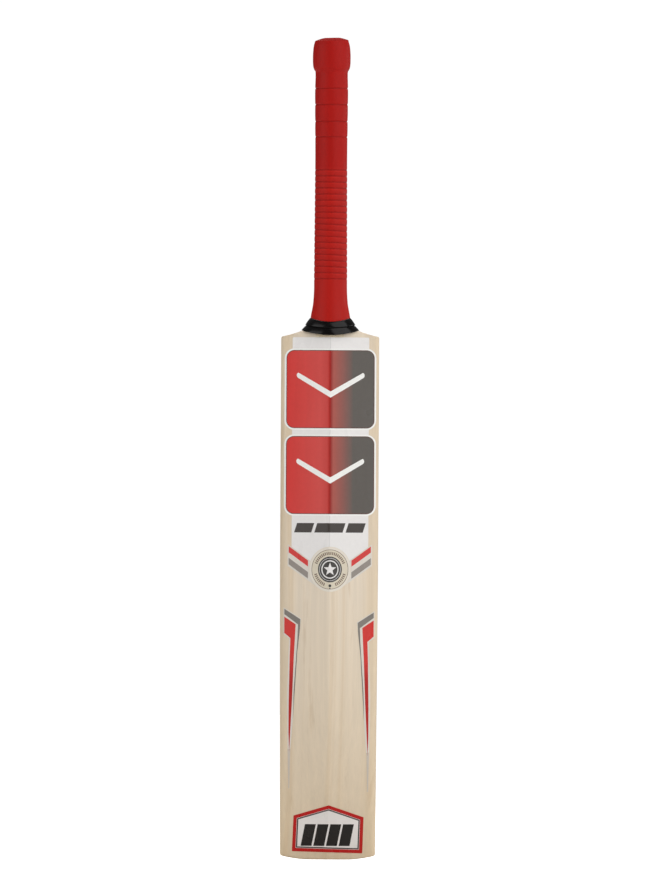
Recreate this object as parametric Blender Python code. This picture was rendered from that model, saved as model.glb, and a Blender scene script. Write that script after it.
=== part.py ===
"""A full-size cricket bat, standing on its toe with the handle up and the ridged back facing -Y.

The blade is one cleft of willow with a V-shaped slot. The handle is twelve cane slips and three rubber
springs, cut to a wedge that fills the slot, then bound with twine and covered by a rubber grip and a
two-tier collar. Vinyl labels lie on the blade's back.

Sizes are in millimetres, and every mesh is made in metres. Heights are above the toe. Depths are
measured from the handle's axis, with +Y towards the hitting face.
"""

import math

import bmesh
import bpy
from mathutils import Vector
from mathutils.geometry import delaunay_2d_cdt

MM = 0.001
GAP = 0.3

# Blade outline, seen from the back
TOTAL_LENGTH = 876.0
SHOULDER_HEIGHT = 557.5
HALF_WIDTH = 52.25
TOE_HALF_WIDTH = 50.8
TAPER_HEIGHT = 309.0
TOE_FLAT = 20.0
TOE_RISE = 4.2
TOE_BLEND = 60.0
SHOULDER_RISE = 6.3
SHOULDER_FLAT = 30.0
SHOULDER_CURVE = 1.37
SHOULDER_BLEND = 500.0

# Blade thickness, as (height, depth) points that a smooth curve runs through
FACE_LINE = [(0, 15.5), (60, 14.3), (140, 12.4), (230, 11.2), (330, 11.8), (430, 13.6), (557.5, 16.0)]
SPINE_LINE = [
    (0, 8.0), (25, 15.5), (70, 29.0), (130, 42.0), (180, 47.6), (225, 49.0),
    (270, 48.6), (309, 46.5), (340, 44.0), (430, 35.0), (510, 26.5), (557.5, 22.0),
]
EDGE_LINE = [
    (0, 18), (40, 24), (100, 31), (180, 35.5), (240, 36), (309, 34.5), (400, 29), (480, 23.5), (557.5, 18),
]
FACE_CROWN = 1.2
FACE_CORNER = 3.0
BACK_CORNER_SHARE = 0.27
RIDGE_ROUND = 0.03
FLANK_HOLLOW = 0.03
TOE_ROUND = 3.5
SHOULDER_FACE_ROUND = 2.0
SHOULDER_BACK_ROUND = 7.0

# Places of the blade's rows and of its columns, from the ridge to where the back corner begins
ROWS = [
    7, 12, 20, 30, 42, 52, 60, 75, 90, 110, 130, 150, 170, 190, 207, 225, 243, 262, 285, 309,
    335, 360, 385, 410, 435, 460, 480, 500, 515, 530, 543,
]
COLUMNS = [0.0, 0.045, 0.13, 0.35, 0.57, 0.79, 1.0]
CORNER_ANGLES = [30, 60, 90]
END_ROUND_STEPS = 4

# Handle and splice
HANDLE_LINE = [(560, 14.0), (580, 14.2), (835, 14.2), (856, 16.2), (871, 15.2)]
HANDLE_OVAL = 1.2
HANDLE_TOP = 871.0
HANDLE_ROWS = [560, 572, 640, 710, 780, 835, 842, 849, 856, 864, 871]
SPLICE_TIP = 425.0
SPLICE_HALF_WIDTH = 15.0
SPLICE_TIP_HALF_WIDTH = 2.0
SLIP_EDGE = 4.9
SPRING_DEPTHS = [-8.0, 0.0, 8.0]
SPRING_THICKNESS = 1.2
SPRING_FOOT = 477.0
TWINE_FOOT = 570.5
TWINE_TOP = 870.0
TWINE_THICKNESS = 0.8

# Grip, outside: half-widths at heights, then what its depth adds to them towards the face and the back
SEGMENTS = 24
GRIP_LINE = [
    (577.3, 21.15), (580.5, 20.65), (586, 19.6), (591, 18.7), (596.5, 18.15), (607, 17.6), (620, 17.55),
    (736, 17.0), (770, 17.1), (822, 17.5), (839.7, 17.3), (842, 18.7), (846, 19.8), (854.6, 20.15),
    (862, 19.85), (868, 19.1), (872.4, 17.85),
]
GRIP_FRONT = [(577.3, -0.85), (600, 0.9), (620, 1.3), (835, 1.3), (850, 0.35), (872.4, 0.35)]
GRIP_BACK = [(577.3, 1.3), (835, 1.3), (850, 0.35), (872.4, 0.35)]
FLARE_HEIGHTS = [577.3, 581, 586, 592, 600, 610]
KNOB_HEIGHTS = [832, 839.7, 842, 846, 854.6, 862, 868, 872.4]
RIB_FOOT = 618.9
RIB_PITCH = 6.45
RIB_COUNT = 18
RIB_DEPTH = 0.45
GROOVES = [770.3, 785.6, 804.7, 822.7]
GROOVE_HALF_WIDTH = 1.3
GROOVE_DEPTH = 0.6
LIP_DOME = 875.2
LIP_DOME_RADIUS = 12.0
LIP_HOLE_RADIUS = 7.0
GRIP_DIP = 4.0
GRIP_DIP_END = 610.0

# Collar rings, as (height, dip at front and back, half-width, front depth, back depth), top edge first
COLLAR_UPPER = [(577.0, 4.0, 21.15, 20.3, 22.45), (569.7, 2.7, 26.4, 20.5, 25.0)]
COLLAR_LOWER = [(569.4, 2.7, 25.9, 20.3, 24.6), (564.1, 5.1, 30.0, 20.5, 27.0)]
SKIRT_WALL = 2.2
SKIRT_CEILING = 564.6
SKIRT_CEILING_INSET = 3.8

# Labels, as thin sheets that lie one gap off the wood
LABEL_THICKNESS = 0.35
LABEL_STEP = 14.0
LABEL_LEFT = -40.0
LABEL_RIGHT = 41.6
LABEL_TOP = 556.6
LABEL_CORNER = 1.0
PANEL_LEFT = -48.3
PANEL_RIGHT = 49.3
PANEL_SPANS = [(457.8, 544.8), (366.4, 453.1)]
PANEL_RADIUS = 10.3
SEAL_X = 1.0
SEAL_HEIGHT = 309.4
SEAL_RADIUS = 23.8
SEAL_SQUEEZE = 0.92
CHEVRON_OUTER = 44.8
CHEVRON_TOP = 336.0
CHEVRON_BOTTOM = 313.0
CHEVRON_SLOPE = 0.73
CENTRE_X = 0.7
STRIPE_CENTRE = 0.3
STRIPE_DROP = 3.6
STRIPE = [
    (-48.0, 268.8), (-29.4, 256.8), (-33.3, 221.0), (-37.4, 152.0), (-40.4, 113.0), (-41.0, 76.0),
    (-42.1, 76.0), (-43.0, 113.0), (-43.9, 175.0), (-42.1, 235.8), (-48.0, 240.2),
]
BADGE = [(1.1, 58.1), (-36.4, 46.9), (-37.9, 8.8), (37.0, 6.9), (38.2, 45.4)]


def smooth(place, points):
    """The value at one place on a smooth curve through (place, value) points."""
    if place <= points[0][0]:
        return points[0][1]
    if place >= points[-1][0]:
        return points[-1][1]
    index = max(i for i, point in enumerate(points) if point[0] <= place)
    start, end = points[index], points[index + 1]
    before = points[max(index - 1, 0)]
    after = points[min(index + 2, len(points) - 1)]
    span = end[0] - start[0]
    start_slope = (end[1] - before[1]) / (end[0] - before[0]) * span
    end_slope = (after[1] - start[1]) / (after[0] - start[0]) * span
    t = (place - start[0]) / span
    bend = (start_slope + end_slope - 2 * (end[1] - start[1])) * t
    turn = 3 * (end[1] - start[1]) - 2 * start_slope - end_slope
    return start[1] + t * (start_slope + t * (turn + bend))


def half_width(row):
    return TOE_HALF_WIDTH + (HALF_WIDTH - TOE_HALF_WIDTH) * min(row / TAPER_HEIGHT, 1.0)


def back_corner(row):
    return BACK_CORNER_SHARE * smooth(row, EDGE_LINE)


def flat_width(row):
    """How far the back runs from the ridge before its corner begins to turn."""
    return half_width(row) - back_corner(row)


def face_y(x, row):
    return smooth(row, FACE_LINE) - FACE_CROWN * (x / half_width(row)) ** 2


def ridge_fall(share):
    """How far the back has fallen from the ridge, 0 to 1, at a share of the half-width."""
    fall = (math.hypot(share, RIDGE_ROUND) - RIDGE_ROUND) / (math.hypot(1.0, RIDGE_ROUND) - RIDGE_ROUND)
    return fall + FLANK_HOLLOW * math.sin(math.pi * share)


def corner_drop(x, row, radius):
    past = abs(x) - half_width(row) + radius
    return radius - math.sqrt(radius**2 - min(past, radius) ** 2) if past > 0 else 0.0


def back_y(x, row):
    ridge = -smooth(row, SPINE_LINE)
    edge = smooth(row, FACE_LINE) - FACE_CROWN - smooth(row, EDGE_LINE)
    across = abs(x) / half_width(row)
    return ridge + (edge - ridge) * ridge_fall(across) + corner_drop(x, row, back_corner(row))


def toe_rise(x):
    """How far the toe's bottom edge has curved up at x."""
    return TOE_RISE * (max(abs(x) - TOE_FLAT, 0.0) / (TOE_HALF_WIDTH - TOE_FLAT)) ** 2


def shoulder_rise(x):
    """How far the hollow shoulder line stands above its outer corner at x."""
    share = min(max(HALF_WIDTH - abs(x), 0.0) / (HALF_WIDTH - SHOULDER_FLAT), 1.0)
    return SHOULDER_RISE * share**SHOULDER_CURVE


def height_at(x, row):
    """The height of a row at x: rows bend to the toe's curve at one end and the shoulders' at the other."""
    toe_share = max(1.0 - row / TOE_BLEND, 0.0)
    shoulder_share = max(row - SHOULDER_BLEND, 0.0) / (SHOULDER_HEIGHT - SHOULDER_BLEND)
    return row + toe_rise(x) * toe_share + shoulder_rise(x) * shoulder_share


def row_at(x, height):
    """The row that passes through a height at x."""
    if height < TOE_BLEND:
        rise = toe_rise(x)
        return (height - rise) / (1.0 - rise / TOE_BLEND)
    if height > SHOULDER_BLEND:
        stretch = shoulder_rise(x) / (SHOULDER_HEIGHT - SHOULDER_BLEND)
        return (height + stretch * SHOULDER_BLEND) / (1.0 + stretch)
    return height


DEEPEST = max(smooth(row, SPINE_LINE) for row in ROWS)
FRONTMOST = max(ring[3] for ring in COLLAR_UPPER + COLLAR_LOWER)
HANDLE_Y = (DEEPEST - FRONTMOST) / 2


def principled(name, colour, roughness):
    material = bpy.data.materials.new(name)
    material.use_nodes = True
    shader = material.node_tree.nodes["Principled BSDF"]
    shader.inputs["Base Color"].default_value = (*colour, 1.0)
    shader.inputs["Roughness"].default_value = roughness
    shader.inputs["Metallic"].default_value = 0.0
    material.diffuse_color = (*colour, 1.0)
    return material


def willow():
    return principled("willow", (0.62, 0.48, 0.31), 0.5)


def cane():
    return principled("cane", (0.55, 0.36, 0.17), 0.55)


def spring_rubber():
    return principled("spring_rubber", (0.09, 0.08, 0.07), 0.8)


def twine():
    return principled("twine", (0.42, 0.05, 0.04), 0.7)


def grip_rubber():
    return principled("grip_rubber", (0.40, 0.025, 0.02), 0.5)


def collar_plastic():
    return principled("collar_plastic", (0.012, 0.012, 0.014), 0.18)


def white_vinyl():
    return principled("white_vinyl", (0.76, 0.73, 0.71), 0.35)


def chevron_vinyl():
    return principled("chevron_vinyl", (0.62, 0.10, 0.08), 0.35)


def seal_vinyl():
    return principled("seal_vinyl", (0.68, 0.58, 0.44), 0.35)


def stripe_vinyl():
    return principled("stripe_vinyl", (0.55, 0.06, 0.05), 0.35)


def badge_vinyl():
    return principled("badge_vinyl", (0.60, 0.05, 0.04), 0.35)


def solid(name, points, faces, material):
    """A closed mesh object from points in millimetres, placed on the handle's axis."""
    mesh = bpy.data.meshes.new(name)
    mesh.from_pydata([Vector(point) * MM for point in points], [], faces)
    shape = bmesh.new()
    shape.from_mesh(mesh)
    bmesh.ops.recalc_face_normals(shape, faces=shape.faces)
    shape.to_mesh(mesh)
    shape.free()
    mesh.shade_smooth()
    mesh.set_sharp_from_angle(angle=math.radians(35))
    if material is not None:
        mesh.materials.append(material)
    item = bpy.data.objects.new(name, mesh)
    bpy.context.scene.collection.objects.link(item)
    item.parent = bpy.data.objects["handle_axis"]
    return item


def helper(name, points, faces):
    """A solid that only shapes others."""
    item = solid(name, points, faces, None)
    item.hide_render = True
    item.display_type = "WIRE"
    return item


def shape_with(item, operation, tool):
    modifier = item.modifiers.new(f"{operation.lower()}_{tool.name}", "BOOLEAN")
    modifier.operation = operation
    modifier.object = tool


def loop_faces(loops, size, joined):
    """The side faces between loops of size points, and from the last loop to the first if joined."""
    faces = []
    for loop in range(loops if joined else loops - 1):
        low = loop * size
        high = (loop + 1) % loops * size
        for i in range(size):
            j = (i + 1) % size
            faces.append((low + i, low + j, high + j, high + i))
    return faces


def end_distances(radius):
    """How far from an end the rows of its rounding lie, from the end itself to where the rounding begins."""
    angles = [math.pi / 2 * step / END_ROUND_STEPS for step in range(END_ROUND_STEPS + 1)]
    return [radius * (1 - math.cos(angle)) for angle in angles]


def end_inset(distance, radius):
    """How far a quarter-circle rounding has drawn a side in at a distance from the end."""
    return radius - math.sqrt(radius**2 - (radius - distance) ** 2) if distance < radius else 0.0


def blade_section(row, face_inset, back_inset):
    """The back's points from left to right and the face's points under them, drawn in by the insets."""
    width = half_width(row)
    middle = (face_y(0.0, row) + back_y(0.0, row)) / 2
    thickness = (face_y(0.0, row) - back_y(0.0, row)) / 2
    right = []
    for share in COLUMNS:
        x = share * flat_width(row)
        right.append((x, back_y(x, row), x, face_y(x, row)))
    for angle in map(math.radians, CORNER_ANGLES):
        back_x = flat_width(row) + back_corner(row) * math.sin(angle)
        face_x = width - FACE_CORNER + FACE_CORNER * math.sin(angle)
        face = face_y(face_x, row) - FACE_CORNER * (1 - math.cos(angle))
        right.append((back_x, back_y(back_x, row), face_x, face))
    left = [(-back_x, back, -face_x, face) for back_x, back, face_x, face in reversed(right[1:])]
    narrow = 1 - face_inset / width
    back_points = []
    face_points = []
    for back_x, back, face_x, face in left + right:
        x = back_x * narrow
        back_points.append((x, middle + (back - middle) * (1 - back_inset / thickness), height_at(x, row)))
        x = face_x * narrow
        face_points.append((x, middle + (face - middle) * (1 - face_inset / thickness), height_at(x, row)))
    return back_points, face_points


def blade_mesh():
    """Points and faces of the blade before its slot is cut."""
    toe = end_distances(TOE_ROUND)
    shoulder = [SHOULDER_HEIGHT - distance for distance in reversed(end_distances(SHOULDER_BACK_ROUND))]
    rows = toe + ROWS + shoulder
    points = []
    for row in rows:
        toe_inset = end_inset(row, TOE_ROUND)
        from_top = SHOULDER_HEIGHT - row
        face_inset = toe_inset + end_inset(from_top, SHOULDER_FACE_ROUND)
        back_inset = toe_inset + end_inset(from_top, SHOULDER_BACK_ROUND)
        back_points, face_points = blade_section(row, face_inset, back_inset)
        points += back_points + face_points[::-1]
    size = len(points) // len(rows)
    faces = loop_faces(len(rows), size, joined=False)
    for first in (0, len(points) - size):
        for i in range(size // 2 - 1):
            far = size - 1 - i
            faces.append((first + i, first + i + 1, first + far - 1, first + far))
    return points, faces


def make_blade():
    blade = solid("willow_blade", *blade_mesh(), willow())
    shape_with(blade, "DIFFERENCE", splice_wedge("splice_slot", GAP))


def splice_wedge(name, clearance):
    """The V of the splice, right through the blade, wider than the cane by a clearance."""
    lean = (SPLICE_HALF_WIDTH - SPLICE_TIP_HALF_WIDTH) / (SHOULDER_HEIGHT - SPLICE_TIP)
    top = SHOULDER_HEIGHT + 3 * SHOULDER_RISE
    top_half_width = SPLICE_HALF_WIDTH + lean * (top - SHOULDER_HEIGHT) + clearance
    tip_half_width = SPLICE_TIP_HALF_WIDTH + clearance
    outline = [
        (-tip_half_width, SPLICE_TIP - clearance), (tip_half_width, SPLICE_TIP - clearance),
        (top_half_width, top), (-top_half_width, top),
    ]
    return helper(name, *prism_mesh([(x, z) for x, z in outline], -2 * DEEPEST, 2 * DEEPEST, "xz"))


def prism_mesh(outline, start, end, plane):
    """A prism on an outline in the xz plane, running along y, or in the yz plane, running along x."""
    points = []
    for depth in (start, end):
        for across, height in outline:
            points.append((across, depth, height) if plane == "xz" else (depth, across, height))
    size = len(outline)
    faces = loop_faces(2, size, joined=False)
    faces.append(tuple(range(size)))
    faces.append(tuple(range(2 * size - 1, size - 1, -1)))
    return points, faces


def oval_loop(height, dip, width, front, back):
    """One loop round the handle's axis. It dips at the front and the back by the given amount."""
    loop = []
    for segment in range(SEGMENTS):
        angle = 2 * math.pi * segment / SEGMENTS
        side = math.sin(angle)
        depth = front if side > 0 else back
        loop.append((width * math.cos(angle), depth * side, height - dip * side**2))
    return loop


def tube_mesh(loops):
    """A closed tube from loops that run up the outside and back down the inside."""
    points = [point for loop in loops for point in loop]
    return points, loop_faces(len(loops), SEGMENTS, joined=True)


def handle_loop(height, extra, dip=0.0):
    width = smooth(height, HANDLE_LINE) + extra
    depth = width + HANDLE_OVAL
    return oval_loop(height, dip, width, depth, depth)


def make_handle_blank():
    """The whole handle in one solid, oval above the shoulders and a wedge flush with the blade below."""
    wedge = splice_wedge("splice_blank", 0.0)
    shape_with(wedge, "INTERSECT", helper("blade_blank", *blade_mesh()))
    points = [point for height in HANDLE_ROWS for point in handle_loop(height, 0.0)]
    faces = loop_faces(len(HANDLE_ROWS), SEGMENTS, joined=False)
    faces.append(tuple(range(SEGMENTS - 1, -1, -1)))
    faces.append(tuple(range(len(points) - SEGMENTS, len(points))))
    blank = helper("handle_blank", points, faces)
    shape_with(blank, "UNION", wedge)
    return blank


def layer_outline(layer):
    """One cane layer seen from the side: it steps in beside each spring, and meets its neighbour below."""
    far = 2 * DEEPEST
    beside = SPRING_THICKNESS / 2 + GAP
    low = SPRING_DEPTHS[layer - 1] if layer > 0 else -far
    high = SPRING_DEPTHS[layer] if layer < len(SPRING_DEPTHS) else far
    foot = SPLICE_TIP - SHOULDER_RISE
    step = SPRING_FOOT - GAP
    top = TOTAL_LENGTH
    return [
        (low + GAP / 2, foot), (high - GAP / 2, foot), (high - GAP / 2, step), (high - beside, step),
        (high - beside, top), (low + beside, top), (low + beside, step), (low + GAP / 2, step),
    ]


def make_cane_slips(blank):
    far = 2 * HALF_WIDTH
    spans = {
        "left": (-far, -SLIP_EDGE - GAP / 2),
        "middle": (-SLIP_EDGE + GAP / 2, SLIP_EDGE - GAP / 2),
        "right": (SLIP_EDGE + GAP / 2, far),
    }
    material = cane()
    for layer in range(len(SPRING_DEPTHS) + 1):
        for side, (start, end) in spans.items():
            name = f"cane_layer{layer + 1}_{side}"
            slip = solid(name, *prism_mesh(layer_outline(layer), start, end, "yz"), material)
            shape_with(slip, "INTERSECT", blank)


def make_springs(blank):
    material = spring_rubber()
    half = SPRING_THICKNESS / 2
    far = 2 * HALF_WIDTH
    for place, depth in zip(("back", "middle", "front"), SPRING_DEPTHS, strict=True):
        outline = [
            (depth - half, SPRING_FOOT), (depth + half, SPRING_FOOT),
            (depth + half, TOTAL_LENGTH), (depth - half, TOTAL_LENGTH),
        ]
        spring = solid(f"rubber_spring_{place}", *prism_mesh(outline, -far, far, "yz"), material)
        shape_with(spring, "INTERSECT", blank)


def make_twine():
    between = [height for height in HANDLE_ROWS if TWINE_FOOT < height < TWINE_TOP]
    heights = [TWINE_FOOT, *between, TWINE_TOP]
    outside = [handle_loop(height, GAP + TWINE_THICKNESS) for height in heights]
    inside = [handle_loop(height, GAP) for height in reversed(heights)]
    solid("twine_binding", *tube_mesh(outside + inside), twine())


def grip_loop(height, sunk):
    width = smooth(height, GRIP_LINE) - sunk
    dip = GRIP_DIP * max(GRIP_DIP_END - height, 0.0) / (GRIP_DIP_END - GRIP_LINE[0][0])
    front = width + smooth(height, GRIP_FRONT)
    back = width + smooth(height, GRIP_BACK)
    return oval_loop(height, dip, width, front, back)


def make_grip():
    """A sleeve with a flare, fine ribs, four ringed bands, and a knob whose lip has a hole."""
    outside = [grip_loop(height, 0.0) for height in FLARE_HEIGHTS]
    for rib in range(RIB_COUNT + 1):
        valley = RIB_FOOT + rib * RIB_PITCH
        outside.append(grip_loop(valley, RIB_DEPTH))
        if rib < RIB_COUNT:
            outside.append(grip_loop(valley + RIB_PITCH / 2, 0.0))
    for groove in GROOVES:
        for offset, sunk in ((-GROOVE_HALF_WIDTH, 0.0), (0.0, GROOVE_DEPTH), (GROOVE_HALF_WIDTH, 0.0)):
            outside.append(grip_loop(groove + offset, sunk))
    outside += [grip_loop(height, 0.0) for height in KNOB_HEIGHTS]
    outside.append(oval_loop(LIP_DOME, 0.0, LIP_DOME_RADIUS, LIP_DOME_RADIUS, LIP_DOME_RADIUS))
    hole = LIP_HOLE_RADIUS
    outside.append(oval_loop(TOTAL_LENGTH, 0.0, hole, hole, hole))
    inside = [oval_loop(HANDLE_TOP + GAP, 0.0, hole, hole, hole)]
    bore = 2 * GAP + TWINE_THICKNESS
    inside.append([(x, y, HANDLE_TOP + GAP) for x, y, _ in handle_loop(HANDLE_TOP, bore)])
    heights = [height for height in reversed(HANDLE_ROWS) if GRIP_DIP_END < height < HANDLE_TOP]
    inside += [handle_loop(height, bore) for height in heights]
    inside.append(handle_loop(GRIP_LINE[0][0], bore, GRIP_DIP))
    solid("rubber_grip", *tube_mesh(outside + inside), grip_rubber())


def skirt_loop(inset):
    """The skirt's lower edge: it rests on the shoulders, and hangs where it passes the blade's back."""
    height, dip, width, front, back = COLLAR_LOWER[-1]
    loop = []
    for x, y, hanging in oval_loop(height, dip, width - inset, front - inset, back - inset):
        hangs = y < back_y(x, SHOULDER_HEIGHT)
        loop.append((x, y, hanging if hangs else height))
    return loop


def make_collar():
    """Two black rings. The lower one is a skirt over the blade's shoulders."""
    material = collar_plastic()
    bore = 2 * GAP + TWINE_THICKNESS
    upper = [oval_loop(*ring) for ring in COLLAR_UPPER]
    upper += [handle_loop(height, bore, dip) for height, dip, *_ in reversed(COLLAR_UPPER)]
    solid("collar_upper_ring", *tube_mesh(upper), material)
    top, dip, *_ = COLLAR_LOWER[0]
    lower = [oval_loop(*COLLAR_LOWER[0]), skirt_loop(0.0), skirt_loop(SKIRT_WALL)]
    lower.append([(x, y, SKIRT_CEILING) for x, y, _ in skirt_loop(SKIRT_CEILING_INSET)])
    lower.append(handle_loop(SKIRT_CEILING, 2 * GAP))
    lower.append(handle_loop(top, 2 * GAP, dip))
    solid("collar_lower_ring", *tube_mesh(lower), material)


def label_point(across, row, lift):
    """A point over the back. across is the distance from the ridge where the flank has its widest flat."""
    x = across / flat_width(TAPER_HEIGHT) * flat_width(row)
    step = 0.5
    right = surface_point(x + step, row) - surface_point(x - step, row)
    up = surface_point(x, row + step) - surface_point(x, row - step)
    return surface_point(x, row) + right.cross(up).normalized() * lift


def surface_point(x, row):
    return Vector((x, back_y(x, row), height_at(x, row)))


def even_outline(outline):
    """The outline in across and row, with points added so that no side is longer than one label step."""
    even = []
    for (x, height), (next_x, next_height) in zip(outline, outline[1:] + outline[:1], strict=True):
        count = math.ceil(math.hypot(next_x - x, next_height - height) / LABEL_STEP)
        for step in range(count):
            share = step / count
            at_x = x + (next_x - x) * share
            row = row_at(at_x, height + (next_height - height) * share)
            even.append(Vector((at_x * flat_width(TAPER_HEIGHT) / flat_width(row), row)))
    return even


def is_inside(point, outline):
    inside = False
    for start, end in zip(outline, outline[1:] + outline[:1], strict=True):
        if (start.y > point.y) != (end.y > point.y):
            crossing = start.x + (end.x - start.x) * (point.y - start.y) / (end.y - start.y)
            if crossing > point.x:
                inside = not inside
    return inside


def column_places(row):
    """How far across each of the blade's columns runs at a row."""
    widest = flat_width(TAPER_HEIGHT)
    corner = back_corner(row) / flat_width(row)
    places = [share * widest for share in COLUMNS]
    places += [(1 + corner * math.sin(math.radians(angle))) * widest for angle in CORNER_ANGLES]
    return [-place for place in reversed(places[1:])] + places


def make_label(name, outline, material):
    """A thin sheet on the blade's back, with edges along the rows and columns of the blade under it."""
    edge = even_outline(outline)
    low = min(point.y for point in edge)
    high = max(point.y for point in edge)
    left = min(point.x for point in edge) - 1.0
    right = max(point.x for point in edge) + 1.0
    rows = [low - 1.0, *[row for row in ROWS if low < row < high], high + 1.0]
    guides = [[Vector((left, row)), Vector((right, row))] for row in rows[1:-1]]
    for places in zip(*map(column_places, rows), strict=True):
        guides.append([Vector((place, row)) for place, row in zip(places, rows, strict=True)])
    points = list(edge)
    lines = [(i, (i + 1) % len(edge)) for i in range(len(edge))]
    for guide in guides:
        lines += [(len(points) + i, len(points) + i + 1) for i in range(len(guide) - 1)]
        points += guide
    flat_points, _, triangles, *_ = delaunay_2d_cdt(points, lines, [], 0, 1e-4)
    kept = []
    for triangle in triangles:
        centre = sum((flat_points[i] for i in triangle), Vector((0.0, 0.0))) / len(triangle)
        if is_inside(centre, edge):
            kept.append(triangle)
    solid(name, *sheet_mesh(flat_points, kept), material)


def sheet_mesh(flat_points, triangles):
    """The under side, the upper side and the rim of a sheet, from flat triangles that all turn one way."""
    used = sorted({i for triangle in triangles for i in triangle})
    place = {old: new for new, old in enumerate(used)}
    under = [label_point(*flat_points[i], GAP) for i in used]
    upper = [label_point(*flat_points[i], GAP + LABEL_THICKNESS) for i in used]
    faces = []
    sides = set()
    for triangle in triangles:
        corners = [place[i] for i in triangle]
        faces.append(tuple(corners))
        faces.append(tuple(corner + len(used) for corner in reversed(corners)))
        sides |= set(zip(corners, corners[1:] + corners[:1], strict=True))
    for start, end in sorted(sides):
        if (end, start) not in sides:
            faces.append((start, end, end + len(used), start + len(used)))
    return under + upper, faces


def arc(centre, radius, squeeze, start, end, steps):
    """Points on an ellipse whose width is squeeze times its height, from one angle to another in degrees."""
    angles = [math.radians(start + (end - start) * step / steps) for step in range(steps + 1)]
    return [(centre[0] + radius * squeeze * math.cos(a), centre[1] + radius * math.sin(a)) for a in angles]


def chevron_line(top, x):
    """The height of a line that falls from the outer edge to the ridge on both sides."""
    return top - CHEVRON_SLOPE * (CHEVRON_OUTER - abs(x - CENTRE_X))


def seal_angle(top, side):
    """The angle on the seal's clear circle where a chevron line meets it, by halving the search."""
    clear = SEAL_RADIUS + 2 * GAP
    low, high = (-45.0, 89.0)
    for _ in range(30):
        middle = (low + high) / 2
        x = SEAL_X + side * clear * SEAL_SQUEEZE * math.cos(math.radians(middle))
        above = SEAL_HEIGHT + clear * math.sin(math.radians(middle)) > chevron_line(top, x)
        low, high = (low, middle) if above else (middle, high)
    return middle if side > 0 else 180.0 - middle


def panel_side(x, sign, low, high):
    """One side of a round-cornered panel from low to high, where it stands out past the label."""
    inner = x - sign * PANEL_RADIUS
    lower = arc((inner, low + PANEL_RADIUS), PANEL_RADIUS, 1.0, -90.0, 0.0, 3)
    upper = arc((inner, high - PANEL_RADIUS), PANEL_RADIUS, 1.0, 0.0, 90.0, 3)
    return [(inner + sign * (px - inner), z) for px, z in lower + upper]


def label_side(edge, panel_edge, sign):
    """The main label's side from bottom to top, stepping out round each panel."""
    past = sign * (edge - panel_edge) + PANEL_RADIUS
    turned = PANEL_RADIUS - math.sqrt(PANEL_RADIUS**2 - past**2)
    side = []
    for low, high in reversed(PANEL_SPANS):
        stretch = panel_side(panel_edge, sign, low, high)
        side.append((edge, low + turned))
        side += [(x, z) for x, z in stretch if sign * (x - edge) > 0]
        side.append((edge, high - turned))
    return side


def back_label_outline():
    clear_top = CHEVRON_TOP + GAP
    seal = (SEAL_X, SEAL_HEIGHT)
    clear = SEAL_RADIUS + 2 * GAP
    left_angle = seal_angle(clear_top, -1)
    right_angle = seal_angle(clear_top, 1)
    outline = arc(seal, clear, SEAL_SQUEEZE, left_angle, right_angle, 8)
    outline.append((LABEL_RIGHT, chevron_line(clear_top, LABEL_RIGHT)))
    outline += label_side(LABEL_RIGHT, PANEL_RIGHT, 1)
    outline += [(LABEL_RIGHT, LABEL_TOP - LABEL_CORNER), (LABEL_RIGHT - LABEL_CORNER, LABEL_TOP)]
    outline += [(LABEL_LEFT + LABEL_CORNER, LABEL_TOP), (LABEL_LEFT, LABEL_TOP - LABEL_CORNER)]
    outline += reversed(label_side(LABEL_LEFT, PANEL_LEFT, -1))
    outline.append((LABEL_LEFT, chevron_line(clear_top, LABEL_LEFT)))
    return outline


def chevron_outline(side):
    outer = CENTRE_X + side * CHEVRON_OUTER
    seal = (SEAL_X, SEAL_HEIGHT)
    top = seal_angle(CHEVRON_TOP, side)
    bottom = seal_angle(CHEVRON_BOTTOM, side)
    inner = arc(seal, SEAL_RADIUS + 2 * GAP, SEAL_SQUEEZE, top, bottom, 4)
    return [(outer, CHEVRON_BOTTOM), (outer, CHEVRON_TOP)] + inner


def make_labels():
    make_label("back_label", back_label_outline(), white_vinyl())
    chevron = chevron_vinyl()
    make_label("chevron_label_left", chevron_outline(-1), chevron)
    make_label("chevron_label_right", chevron_outline(1), chevron)
    seal = arc((SEAL_X, SEAL_HEIGHT), SEAL_RADIUS, SEAL_SQUEEZE, 0.0, 360.0, 24)[:-1]
    make_label("seal_label", seal, seal_vinyl())
    stripe = stripe_vinyl()
    make_label("stripe_label_left", STRIPE, stripe)
    mirrored = [(2 * STRIPE_CENTRE - x, height - STRIPE_DROP) for x, height in STRIPE]
    make_label("stripe_label_right", mirrored, stripe)
    make_label("toe_badge", BADGE, badge_vinyl())


def main():
    for item in list(bpy.data.objects):
        bpy.data.objects.remove(item)
    axis = bpy.data.objects.new("handle_axis", None)
    axis.location = (0.0, HANDLE_Y * MM, 0.0)
    bpy.context.scene.collection.objects.link(axis)
    make_blade()
    blank = make_handle_blank()
    make_cane_slips(blank)
    make_springs(blank)
    make_twine()
    make_grip()
    make_collar()
    make_labels()


main()
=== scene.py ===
"""The look of a full-size cricket bat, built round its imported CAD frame.

Shapes are worked out in millimetres on the CAD's own axes: x to the right seen from the back, depth from
the handle's axis with +Y towards the hitting face, and height above the toe. The blade, splice, grip and
collar follow the CAD's formulas with finer meshes. A few sizes differ from the CAD's by up to about 2 mm.
The labels are thin printed sheets whose printed areas are cut into their faces. Every colour comes from
node materials in the object's own space.
"""

import math

import bmesh
import bpy
from mathutils import Matrix, Vector
from mathutils.geometry import delaunay_2d_cdt


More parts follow.
